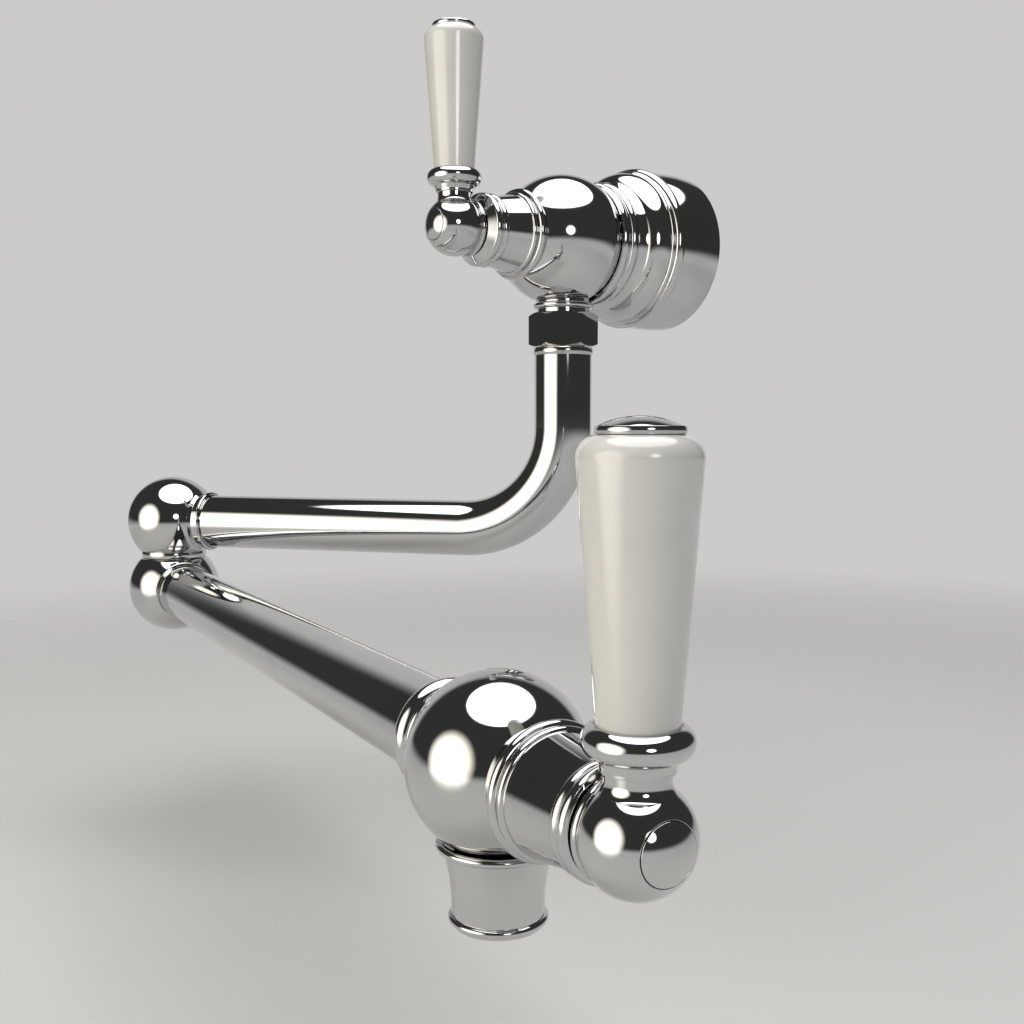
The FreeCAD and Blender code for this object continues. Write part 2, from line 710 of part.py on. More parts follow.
def lever_handle():
    """Tapered ceramic grip with a rounded shoulder."""
    shoulder_at = handle_top_at - handle_shoulder_round
    flat_radius = handle_shoulder_radius - handle_shoulder_round
    bulge = handle_shoulder_round * math.sqrt(0.5)
    boss = cap_boss_radius + screwed_gap
    bore = lever_rod_radius + handle_bore_clearance
    outline = Outline(bore, handle_base_at)
    outline.to(handle_base_radius, handle_base_at)
    outline.to(handle_shoulder_radius, shoulder_at)
    outline.curve((flat_radius + bulge, shoulder_at + bulge), (flat_radius, handle_top_at))
    outline.to(boss, handle_top_at).to(boss, handle_top_at - cap_boss_length)
    outline.to(bore, handle_top_at - cap_boss_length)
    return outline.turned()


def lever_cap():
    """Low domed cap that screws on the rod and holds the grip down."""
    rim_top = handle_top_at + cap_rim_height
    rim_edge = cap_rim_radius - cap_rim_relief
    boss_end = handle_top_at - cap_boss_length
    outline = Outline(0, boss_end).to(cap_boss_radius, boss_end)
    outline.to(cap_boss_radius, handle_top_at).to(rim_edge, handle_top_at)
    outline.curve((cap_rim_radius, handle_top_at + cap_rim_height / 2), (rim_edge, rim_top))
    outline.to(cap_dome_radius, rim_top).dome(cap_dome_height)
    hole = rod(lever_rod_radius + screwed_gap, boss_end, handle_top_at - cap_roof)
    return outline.turned().cut(hole)


# ================================================================ union and swivel, drawn downwards
nut_end_at = (outlet_end_at + swivel_washer_thickness + face_gap + swivel_flange_thickness
              + face_gap + nut_lip)
tail_flange_at = outlet_end_at + swivel_washer_thickness + face_gap
arm_collar_at = nut_end_at + free_gap
tube_top_at = arm_collar_at + arm_collar_roof


def hung(shape):
    """Z of the drawing goes down the shoulder's axis from the inlet's height."""
    return placed(shape, shoulder, FreeCAD.Rotation(EAST, 180))


def union_nut():
    corner = nut_flats / math.sqrt(3)
    limit = Outline(0, nut_top_at).to(nut_flats / 2, nut_top_at).to(corner, nut_top_at + nut_chamfer)
    limit.to(corner, nut_end_at - nut_chamfer).to(nut_flats / 2, nut_end_at).to(0, nut_end_at)
    body = hexagon(nut_flats, nut_top_at, nut_end_at).common(limit.turned())
    body = body.cut(rod(outlet_thread_radius + screwed_gap, nut_top_at, nut_end_at - nut_lip))
    return hung(body.cut(rod(swivel_tail_radius + face_gap, nut_top_at, nut_end_at)))


def swivel_washer():
    end = outlet_end_at + swivel_washer_thickness
    return hung(sleeve(swivel_bore + free_gap, outlet_thread_radius - free_gap, outlet_end_at, end))


def swivel_tail():
    """Flanged spigot that turns inside the valve's outlet and carries the inner arm."""
    spigot = swivel_bore - running_gap
    flange_end = tail_flange_at + swivel_flange_thickness
    tail_end = tube_top_at + swivel_plug_length
    body = rod(spigot, swivel_spigot_top_at, tail_flange_at)
    body = body.fuse(rod(outlet_thread_radius - free_gap, tail_flange_at, flange_end))
    body = body.fuse(rod(swivel_tail_radius, flange_end, tail_end))
    body = body.cut(grooves(spigot, spigot - 2 * swivel_ring_cord, swivel_ring_cord, swivel_ring_places))
    return hung(body.cut(rod(swivel_tail_bore, swivel_spigot_top_at, tail_end)))


def swivel_rings():
    bottom = swivel_bore - running_gap - 2 * swivel_ring_cord
    return hung(o_rings(bottom, swivel_ring_cord, swivel_ring_places))


def inner_arm_collar():
    """Screwed on the tail; the tube is soldered over its skirt and under its bead."""
    end = arm_collar_at + arm_collar_height
    edge = arm_collar_radius - arm_collar_relief
    tail = swivel_tail_radius + screwed_gap
    skirt = tube_radius - tube_wall - screwed_gap
    outline = Outline(tail, arm_collar_at).to(edge, arm_collar_at)
    outline.curve((arm_collar_radius, (arm_collar_at + end) / 2), (edge, end))
    outline.to(tube_radius + screwed_gap, end).to(tube_radius + screwed_gap, tube_top_at)
    outline.to(skirt, tube_top_at).to(skirt, tube_top_at + swivel_plug_length)
    return hung(outline.to(tail, tube_top_at + swivel_plug_length).turned())


# ================================================================ arms
def straight_tube(length):
    return sleeve(tube_radius - tube_wall, tube_radius, 0, length)


def tenon():
    """Turned-down end of a tube, drawn from the tube's shoulder."""
    return sleeve(tube_radius - tube_wall, tube_tenon_radius, 0, tube_tenon_length)


def inner_arm_tube():
    """Down from the union, round the bend and out to the elbow; drawn in the plane of the bend."""
    along_x = FreeCAD.Rotation(NORTH, 90)
    drop = placed(straight_tube(inner_arm_drop - tube_top_at - inner_arm_bend), UP * inner_arm_bend,
                  FreeCAD.Rotation())
    section = Part.Face([Part.Wire(Part.makeCircle(tube_radius, UP * inner_arm_bend)),
                         Part.Wire(Part.makeCircle(tube_radius - tube_wall, UP * inner_arm_bend))])
    bend = section.revolve(FreeCAD.Vector(inner_arm_bend, 0, inner_arm_bend), NORTH, -90)
    end = inner_arm_reach - elbow_neck_end
    run = placed(straight_tube(end - inner_arm_bend), EAST * inner_arm_bend, along_x)
    tube = drop.multiFuse([bend, run, placed(tenon(), EAST * end, along_x)]).removeSplitter()
    return placed(tube, shoulder_foot, FreeCAD.Rotation(UP, 180 + inner_arm_swing))


def outer_arm_tube():
    length = outer_arm_reach - elbow_neck_end - front_valve.rear_boss_end
    near = placed(tenon(), ORIGIN, FreeCAD.Rotation(EAST, 180))
    tube = straight_tube(length).multiFuse([near, placed(tenon(), UP * length, FreeCAD.Rotation())])
    return aimed(tube.removeSplitter(), lower_elbow + outer_arm_axis * elbow_neck_end, outer_arm_axis)


def end_ring():
    """Bead round a tube where it enters an elbow ball, drawn from the ball's centre."""
    base = tube_radius + screwed_gap
    outline = Outline(base, elbow_neck_end).to(tube_radius + ring_edge, elbow_neck_end)
    outline.bead(end_ring_radius, end_ring_width)
    return outline.to(base, elbow_neck_end + end_ring_width).turned()


def outer_arm_collar():
    """Bold bead and a finer one on the outer arm, behind the front valve's ball."""
    start = -front_valve.rear_boss_end
    base = tube_radius + screwed_gap
    outline = Outline(base, start).to(tube_radius + ring_edge, start)
    outline.bead(front_collar_step_radius, -front_collar_step_width)
    outline.bead(front_collar_radius, -front_collar_width)
    return outline.to(base, start - front_collar_step_width - front_collar_width).turned()


# ================================================================ elbow
elbow_socket_floor = elbow_neck_end - elbow_socket_depth


def elbow_ball(flat_side):
    """Ball with a neck and a socket for its arm, cut flat on the side that faces the other ball."""
    neck_start = half_chord(elbow_ball_radius, elbow_neck_start_radius)
    outline = Outline(0, -elbow_ball_radius).ball(0, elbow_ball_radius, neck_start)
    outline.to(elbow_neck_radius, neck_start + elbow_neck_flare).to(elbow_neck_radius, elbow_neck_end)
    outline.to(0, elbow_neck_end)
    socket = rod(tube_tenon_radius + screwed_gap, elbow_socket_floor, elbow_neck_end)
    reach = 3 * elbow_ball_radius
    lowest = elbow_flat_at if flat_side > 0 else -elbow_flat_at - reach
    waste = Part.makeBox(reach, reach, reach, FreeCAD.Vector(-reach / 2, lowest, -reach / 2))
    return outline.turned().cut(socket).cut(waste)


def upper_elbow_body():
    body = elbow_ball(-1)
    body = body.cut(rod(elbow_arm_bore, -elbow_arm_bore, elbow_socket_floor + cut_over))
    thread_start = elbow_thread_top - elbow_thread_relief
    thread = rod(elbow_thread_radius + screwed_gap, thread_start, elbow_flat_at)
    return body.cut(hanging(thread))


def lower_elbow_body():
    body = elbow_ball(1)
    bore_start = elbow_shaft_radius + running_gap + elbow_bore_wall
    body = body.cut(rod(elbow_water_bore, bore_start, elbow_socket_floor + cut_over))
    body = body.cut(upright(rod(elbow_shaft_radius + running_gap, elbow_ledge_at, elbow_flat_at)))
    body = body.cut(upright(rod(elbow_cavity_radius, -elbow_cavity_floor, elbow_ledge_at)))
    return body.cut(hanging(rod(elbow_plug_radius + screwed_gap, elbow_cavity_floor, elbow_ball_radius)))


def elbow_plug():
    outline = Outline(0, elbow_cavity_floor).to(elbow_plug_radius, elbow_cavity_floor)
    outline.to(elbow_plug_radius, half_chord(elbow_ball_radius, elbow_plug_radius))
    return hanging(outline.ball(0, elbow_ball_radius, elbow_ball_radius).turned())


def stood(shape):
    """Z of the drawing goes up the elbow's axis from the lower ball's centre."""
    return placed(shape, lower_elbow, FreeCAD.Rotation())


elbow_head_top = elbow_ledge_at - face_gap - elbow_thrust_thickness
upper_flat_at = elbow_spacing - elbow_flat_at


def elbow_spindle():
    """Hollow pivot: hangs from its thread in the upper ball, and its head carries the lower ball."""
    foot = elbow_head_top - elbow_head_thickness
    top = elbow_spacing - elbow_thread_top
    body = rod(elbow_head_radius, foot, elbow_head_top)
    body = body.fuse(rod(elbow_shaft_radius, elbow_head_top, upper_flat_at))
    body = body.fuse(rod(elbow_thread_radius, upper_flat_at, top))
    body = body.cut(grooves(elbow_shaft_radius, elbow_shaft_radius - 2 * elbow_ring_cord,
                            elbow_ring_cord, elbow_ring_places))
    return stood(body.cut(rod(elbow_spindle_bore, foot, top)))


def elbow_rings():
    return stood(o_rings(elbow_shaft_radius - 2 * elbow_ring_cord, elbow_ring_cord, elbow_ring_places))


def elbow_thrust_washer():
    end = elbow_head_top + elbow_thrust_thickness
    return stood(sleeve(elbow_shaft_radius + screwed_gap, elbow_head_radius, elbow_head_top, end))


def elbow_collar():
    """Ring seated under the upper ball, which fills the waist between the two balls."""
    start = upper_flat_at - elbow_collar_thickness
    edge = elbow_collar_radius - elbow_collar_relief
    outline = Outline(elbow_shaft_radius + free_gap, start).to(edge, start)
    outline.curve((elbow_collar_radius, start + elbow_collar_thickness / 2), (edge, upper_flat_at))
    return stood(outline.to(elbow_shaft_radius + free_gap, upper_flat_at).turned())


# ================================================================ spout, drawn downwards
spout_washer_end = spout_thread_end + spout_washer_thickness
aerator_end = spout_end_at - aerator_recess
aerator_at = aerator_end - aerator_height


def spout():
    """Flared outlet with a bead and a round seat under the ball, and a ring round its mouth."""
    seat = front_valve.ball_radius + free_gap
    thread = spout_thread_radius + screwed_gap
    pocket = aerator_radius + screwed_gap
    ring_end = spout_ring_at + spout_ring_width / 2
    outline = Outline(half_chord(seat, spout_top_at), spout_top_at)
    outline.ball(0, seat, half_chord(seat, thread))
    outline.to(thread, spout_washer_end).to(spout_bore, spout_washer_end)
    outline.to(spout_bore, aerator_at).to(pocket, aerator_at).to(pocket, spout_end_at)
    outline.to(spout_end_radius, spout_end_at).to(spout_end_radius, ring_end)
    outline.to(spout_waist_radius, ring_end)
    outline.bead(spout_ring_radius, -spout_ring_width)
    outline.to(spout_waist_radius, spout_waist_at)
    outline.curve((spout_mid_radius, spout_mid_at), (spout_shoulder_radius, spout_shoulder_at))
    outline.curve((spout_bead_radius, spout_bead_at), (spout_top_radius, spout_top_at))
    return outline.turned()


def spout_washer():
    return sleeve(spout_bore, spout_thread_radius, spout_thread_end, spout_washer_end)


def aerator_housing():
    core_top = aerator_end - aerator_core_height
    body = sleeve(aerator_radius - aerator_wall, aerator_radius, core_top, aerator_end)
    return body.fuse(sleeve(aerator_radius - 2 * aerator_wall, aerator_radius, aerator_at, core_top))


def aerator_insert():
    radius = aerator_radius - aerator_wall - screwed_gap
    start = aerator_end - aerator_core_height
    end = aerator_end - aerator_insert_recess
    core = rod(radius, start, end)
    return core.cut(grid_of_holes(aerator_hole, aerator_pitch, radius - aerator_insert_rim, start, end))


# ================================================================ the whole tap
def valve_nodes(prefix, valve, body, centre, axis):
    """Everything on one valve, from its body to its lever, placed in the tap."""
    fixed = {
        prefix + "_valve_body": body,
        prefix + "_cartridge_seal": cartridge_seal(valve),
        prefix + "_fixed_disc": fixed_disc(valve),
        prefix + "_cartridge_body": cartridge_body(valve),
        prefix + "_bonnet": bonnet(valve),
    }
    moving = {
        prefix + "_moving_disc": moving_disc(valve),
        prefix + "_spindle": spindle(valve),
        prefix + "_spindle_orings": spindle_rings(),
        prefix + "_spindle_clip": spindle_clip(),
        prefix + "_lever_hub": lever_hub(valve),
        prefix + "_hub_screw": hub_screw(valve),
        prefix + "_hub_plug": hub_plug(valve),
        prefix + "_lever_collar": upright(lever_collar(), valve.hub_at),
        prefix + "_lever_rod": upright(lever_rod(), valve.hub_at),
        prefix + "_lever_handle": upright(lever_handle(), valve.hub_at),
        prefix + "_lever_cap": upright(lever_cap(), valve.hub_at),
    }
    return {name: aimed(shape, centre, axis) for name, shape in {**fixed, **moving}.items()}


def all_nodes():
    nodes = {
        "wall_flange": wall_flange(),
        "wall_gasket": wall_gasket(),
        "inlet_shank": inlet_shank(),
        "inlet_washer": inlet_washer(),
        "inlet_strainer": inlet_strainer(),
        "inlet_seal": inlet_seal(),
        "union_nut": union_nut(),
        "swivel_washer": swivel_washer(),
        "swivel_tail": swivel_tail(),
        "swivel_orings": swivel_rings(),
        "inner_arm_collar": inner_arm_collar(),
        "inner_arm_tube": inner_arm_tube(),
        "inner_arm_end_ring": aimed(end_ring(), upper_elbow, inner_arm_axis * -1),
        "elbow_upper_body": aimed(upper_elbow_body(), upper_elbow, inner_arm_axis * -1),
        "elbow_spindle": elbow_spindle(),
        "elbow_orings": elbow_rings(),
        "elbow_thrust_washer": elbow_thrust_washer(),
        "elbow_collar": elbow_collar(),
        "elbow_lower_body": aimed(lower_elbow_body(), lower_elbow, outer_arm_axis),
        "elbow_plug": aimed(elbow_plug(), lower_elbow, outer_arm_axis),
        "outer_arm_end_ring": aimed(end_ring(), lower_elbow, outer_arm_axis),
        "outer_arm_tube": outer_arm_tube(),
        "outer_arm_collar": aimed(outer_arm_collar(), front_ball, outer_arm_axis),
    }
    nodes.update(valve_nodes("wall", wall_valve, wall_valve_body(), wall_ball, wall_axis))
    nodes.update(valve_nodes("front", front_valve, front_valve_body(), front_ball, outer_arm_axis))
    for name, shape in (("spout", spout()), ("spout_washer", spout_washer()),
                        ("aerator_housing", aerator_housing()), ("aerator_insert", aerator_insert())):
        nodes[name] = aimed(hanging(shape), front_ball, outer_arm_axis)
    return nodes


os.makedirs("parts", exist_ok=True)
for node_name, node_shape in all_nodes().items():
    node_shape.exportStep("parts/" + node_name + ".step")
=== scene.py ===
import json
import math

import bmesh
import bpy
from mathutils import Matrix, Vector


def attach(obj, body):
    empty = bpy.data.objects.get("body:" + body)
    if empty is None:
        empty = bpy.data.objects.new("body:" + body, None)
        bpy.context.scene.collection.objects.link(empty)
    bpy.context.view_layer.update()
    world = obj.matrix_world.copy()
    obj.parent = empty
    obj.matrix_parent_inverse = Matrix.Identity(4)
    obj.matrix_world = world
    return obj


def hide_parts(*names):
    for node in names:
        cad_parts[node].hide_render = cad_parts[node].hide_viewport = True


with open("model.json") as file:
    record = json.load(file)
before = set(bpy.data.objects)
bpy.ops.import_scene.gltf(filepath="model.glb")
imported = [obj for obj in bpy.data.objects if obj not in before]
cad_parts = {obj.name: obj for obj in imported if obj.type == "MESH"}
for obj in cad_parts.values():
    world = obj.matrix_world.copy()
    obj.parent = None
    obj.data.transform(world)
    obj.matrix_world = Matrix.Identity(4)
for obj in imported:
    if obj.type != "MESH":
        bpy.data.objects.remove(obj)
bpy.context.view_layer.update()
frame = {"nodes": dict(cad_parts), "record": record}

# Polished skins of a wall mounted pot filler.  Sizes are in millimetres, in the frame of the CAD part:
# the wall is y = 0, the tap stands out along -Y and the origin is the centre of the inlet.
MM = 0.001

EAST = Vector((1, 0, 0))
NORTH = Vector((0, 1, 0))
UP = Vector((0, 0, 1))

# ---------- how finely a skin is turned
AROUND = 128                      # facets round a turned piece
ARC_STEP = 5.0                    # degrees of a round stretch in one facet of an outline
EDGE = 0.14                       # radius to which a turned edge is broken
SMOOTH_BEND = math.radians(4)     # a corner that bends less than this is left as it is
SHARPEST_BEND = 2.6               # radians; sharper corners are broken as if they bent by this much
EDGE_SHARE = 0.4                  # most of a stretch that a broken edge may take
EDGE_FACETS = 4
BEND_FACETS = 48                  # facets along the bent tube
TINY = 1e-6

# ---------- clearances
screwed_gap = 0.05                # radial gap of pieces that are screwed or pressed together
running_gap = 0.06                # radial gap of a shaft that turns in its bore
free_gap = 0.3                    # gap between pieces that never touch
hub_gap = 0.8                     # gap between a cone and the hub that turns in front of it
bead_gap = 0.3                    # flat groove between two neighbouring beads
tenon_room = 0.2                  # room beyond a tube's tenon in its socket
seam = 0.12                       # seam that is seen round a plug set in a ball

# ---------- arms
tube_radius = 11.0
tube_wall = 1.5
tube_bore = tube_radius - tube_wall
tube_fit = tube_radius + screwed_gap
shoulder_from_wall = 54.0
inner_arm_swing = 34.7
outer_arm_swing = 9.85
inner_arm_drop = 110.8
inner_arm_reach = 173.1
inner_arm_bend = 40.0
outer_arm_reach = 296.8
tenon_radius = 10.3
tenon_length = 5.2
ring_edge = 0.6                   # how far the square edges of the arms' rings stand off the tube

# ---------- wall rose
rose_depth = 43.7
rose_wall_radius = 31.0
rose_belly = (31.15, 8.0)         # pairs are (radius, distance from the wall)
rose_groove_radius = 29.5
rose_bead_radius = 31.2
rose_bead_at = 20.9
rose_bead_width = 4.4
rose_fine_bead_radius = 29.8
rose_fine_bead_width = 1.5
rose_dome_start_radius = 28.9
rose_dome_middle = (27.75, 30.0)
rose_dome_end = (24.7, 33.0)
rose_flare_middle = (23.65, 34.8)
rose_flare_end_radius = 23.1
rose_neck_radius = 22.6
rose_neck_bead_radius = 23.7
rose_neck_bead_width = 3.2
rose_neck_groove_width = 1.0
rose_mouth_bead_radius = 23.3
rose_mouth_bead_width = 3.0
rose_metal = 2.2
rose_dome_metal = 3.1
rose_web_at = 12.0
rose_web_thickness = 4.0
rose_rim_width = 1.6
gasket_width = 3.9
gasket_thickness = 1.4
gasket_ledge = 2.4
shank_radius = 13.0
shank_nose_radius = 10.4
inlet_bore = 6.5

# ---------- both taps, measured from the ball's centre
seat_at = -6.0
bonnet_seat_at = 20.3
bonnet_thread_end = 25.5
bonnet_wall = 1.6
bonnet_end_wall = 2.2
stem_radius = 4.0
stem_room = 0.5                   # room round the stem in the cone's nose

# ---------- levers
hub_radius = 10.5
hub_ring_radius = 10.15
hub_ring_width = 1.6
hub_ring_relief = 0.4
hub_groove_radius = 9.2
hub_groove_width = 0.3
hub_web = 2.4
hub_neck_radius = 5.9
hub_neck_flare = 3.0              # radius of the hollow curve from the ball into the neck
hub_neck_root = 1.2               # how far the neck's skin goes down into the ball
hub_neck_root_step = 1.0
hub_neck_top = 11.6
plug_radius = 5.5
plug_thickness = 1.6
lever_rod_radius = 3.0
lever_rod_fit = lever_rod_radius + screwed_gap
collar_foot_radius = 6.6
collar_foot_height = 0.7
collar_waist = (7.1, 13.8)        # pairs are (radius, distance from the hub's centre)
collar_bead = (9.75, 16.7)
collar_cup_radius = 7.95
collar_cup_depth = 0.4
handle_base_at = 19.1
handle_base_radius = 7.23
handle_shoulder_radius = 10.72
handle_round = 3.9                # radius of the rounded shoulder
handle_top_at = 67.8
handle_bore_room = 0.4
handle_edge = 0.35                # the glaze rounds its edges more than metal
cap_boss_radius = 5.8
cap_boss_length = 6.0
cap_rim_radius = 7.7
cap_rim_height = 1.4
cap_rim_relief = 0.2
cap_dome_radius = 7.1
cap_dome_height = 1.7
cap_rod_end = 1.4                 # how far the rod ends below the grip's top

# ---------- union, measured down from the inlet's axis
outlet_neck_radius = 10.0
outlet_neck_root = 3.0            # how far the neck's skin goes up into the ball
outlet_bead_radius = 11.6
outlet_bead_at = 24.6
outlet_bead_width = 2.2
outlet_thread_radius = 10.1
outlet_end_at = 33.0
swivel_bore = 6.6
swivel_tail_radius = 8.55
swivel_plug_length = 9.0
nut_top_at = 27.3
nut_end_at = 40.1
nut_flats = 23.0
nut_chamfer = 1.1
nut_lip = 3.2
nut_bore_room = 0.1
nut_past_corners = 0.5            # how far the nut's turned limit reaches past the corners
nut_edge = 0.22
nut_edge_facets = 3
nut_edge_from = math.radians(20)  # edges that bend less than this stay sharp
nut_turn = math.radians(41.3)     # a flat faces the photograph's camera
arm_collar_at = 40.4
arm_collar_radius = 11.6
arm_collar_relief = 0.4
arm_collar_height = 2.9
tube_top_at = 41.2

# ---------- elbow
elbow_ball_radius = 18.8
elbow_spacing = 28.8
elbow_flat_at = 12.75
elbow_neck_radius = 11.25
elbow_neck_start_radius = 12.3
elbow_neck_flare = 1.2
elbow_neck_end = 17.8
elbow_neck_root = 3.0             # how far the neck's skin goes into the ball
elbow_neck_root_step = 1.2
elbow_neck_bore = 8.0
elbow_thread_radius = 7.0
elbow_top_floor = 7.0             # top of the hollow in the upper ball
elbow_shaft_radius = 7.5
elbow_ledge_at = 2.1
elbow_cavity_radius = 9.4
elbow_cavity_floor = 12.0
elbow_plug_radius = 9.8
elbow_seam_depth = 0.2
waist_ring_radius = 13.4
waist_ring_relief = 0.3
end_ring_radius = 12.4
end_ring_width = 1.5

# ---------- collar behind the front tap
front_collar_step_radius = 12.3
front_collar_step_width = 2.0
front_collar_radius = 13.3
front_collar_width = 5.0

# ---------- spout, measured down from the front ball
spout_bore = 5.8
spout_boss_from = 15.0            # inside the ball
spout_thread_radius = 8.6
spout_thread_end = 22.4
spout_washer_end = 23.7
spout_top = (11.9, 16.0)          # pairs are (radius, distance below the ball's centre)
spout_bead = (13.1, 16.8)
spout_shoulder = (11.7, 17.6)
spout_middle = (10.4, 22.8)
spout_waist = (9.7, 30.4)
spout_ring_radius = 10.5
spout_ring_width = 1.7
spout_ring_end = 33.15
spout_end_radius = 9.6
spout_end_at = 33.7
aerator_radius = 8.25
aerator_at = 26.9


class Tap:
    """Sizes in which the wall tap and the front tap differ."""

    def __init__(self, **sizes):
        self.__dict__.update(sizes)


wall_tap = Tap(
    ball_radius=24.5, outlet_setback=1.7, chamber_radius=10.5,
    rear_boss_radius=14.0, rear_boss_end=29.5,
    socket_radius=shank_nose_radius + screwed_gap, socket_depth=10.3,
    front_boss_radius=14.6, thread_radius=13.0, foot_radius=15.3,
    bead_radius=16.6, bead_at=21.8, bead_width=2.6, fine_bead_radius=15.0, fine_bead_width=1.6,
    cone_base_radius=14.1, cone_end_radius=12.3, cone_end_at=34.4,
    nose_bead_height=0.8, nose_bead_width=2.6, nose_end_at=41.9, nose_end_radius=9.6,
    hub_at=49.6)

front_tap = Tap(
    ball_radius=19.4, outlet_setback=0.0, chamber_radius=8.8,
    rear_boss_radius=11.9, rear_boss_end=18.6,
    socket_radius=tenon_radius + screwed_gap, socket_depth=tenon_length + tenon_room,
    front_boss_radius=11.2, thread_radius=10.0, foot_radius=12.6,
    bead_radius=13.9, bead_at=21.8, bead_width=2.4, fine_bead_radius=13.2, fine_bead_width=1.7,
    cone_base_radius=12.4, cone_end_radius=10.6, cone_end_at=38.4,
    nose_bead_height=0.45, nose_bead_width=2.1, nose_end_at=43.2, nose_end_radius=9.8,
    hub_at=49.5)


# ======== places
def level(degrees):
    angle = math.radians(degrees)
    return Vector((math.cos(angle), math.sin(angle), 0))


def aimed(origin, axis):
    """Z of a drawing goes along a level axis, and Y of the drawing stays upright."""
    turn = Matrix((UP.cross(axis), UP, axis)).transposed().to_4x4()
    return Matrix.Translation(origin) @ turn


def upright(along):
    return Matrix.Translation(UP * along) @ Matrix.Rotation(-math.pi / 2, 4, "X")


def hanging(along=0):
    return Matrix.Translation(UP * along) @ Matrix.Rotation(math.pi / 2, 4, "X")


wall_axis = -NORTH
shoulder = wall_axis * shoulder_from_wall
wall_ball_from_wall = shoulder_from_wall + wall_tap.outlet_setback
wall_ball = wall_axis * wall_ball_from_wall
inner_arm_axis = level(180 + inner_arm_swing)
outer_arm_axis = level(-outer_arm_swing)
shoulder_foot = shoulder - UP * inner_arm_drop
upper_elbow = shoulder_foot + inner_arm_axis * inner_arm_reach
lower_elbow = upper_elbow - UP * elbow_spacing
front_ball = lower_elbow + outer_arm_axis * outer_arm_reach

at_wall = aimed(Vector((0, 0, 0)), wall_axis)
at_wall_tap = aimed(wall_ball, wall_axis)
at_front_tap = aimed(front_ball, outer_arm_axis)
at_upper_elbow = aimed(upper_elbow, -inner_arm_axis)
at_lower_elbow = aimed(lower_elbow, outer_arm_axis)
on_upper_elbow = Matrix.Translation(upper_elbow)
on_lower_elbow = Matrix.Translation(lower_elbow)
down_shoulder = Matrix.Translation(shoulder) @ Matrix.Rotation(math.pi, 4, "X")


# ======== turning
def half_chord(radius, offset):
    square = radius ** 2 - offset ** 2
    return math.sqrt(square) if square > 1e-9 else 0


class Run:
    """A straight or round stretch of an outline; its points and directions go by a share from 0 to 1."""

    def __init__(self, start, end, centre=None, sweep=0.0):
        self.start, self.end, self.centre, self.sweep = start, end, centre, sweep
        if centre is None:
            self.length = (end - start).length
        else:
            self.length = abs(sweep) * (start - centre).length

    def point(self, share):
        if self.centre is None:
            return self.start.lerp(self.end, share)
        spoke = self.start - self.centre
        spoke.rotate(Matrix.Rotation(self.sweep * share, 2))
        return self.centre + spoke

    def heading(self, share):
        if self.centre is None:
            return (self.end - self.start).normalized()
        spoke = (self.point(share) - self.centre).normalized()
        side = 1 if self.sweep > 0 else -1
        return Vector((-spoke.y, spoke.x)) * side

    def steps(self):
        if self.centre is None:
            return 1
        return max(2, math.ceil(abs(math.degrees(self.sweep)) / ARC_STEP))


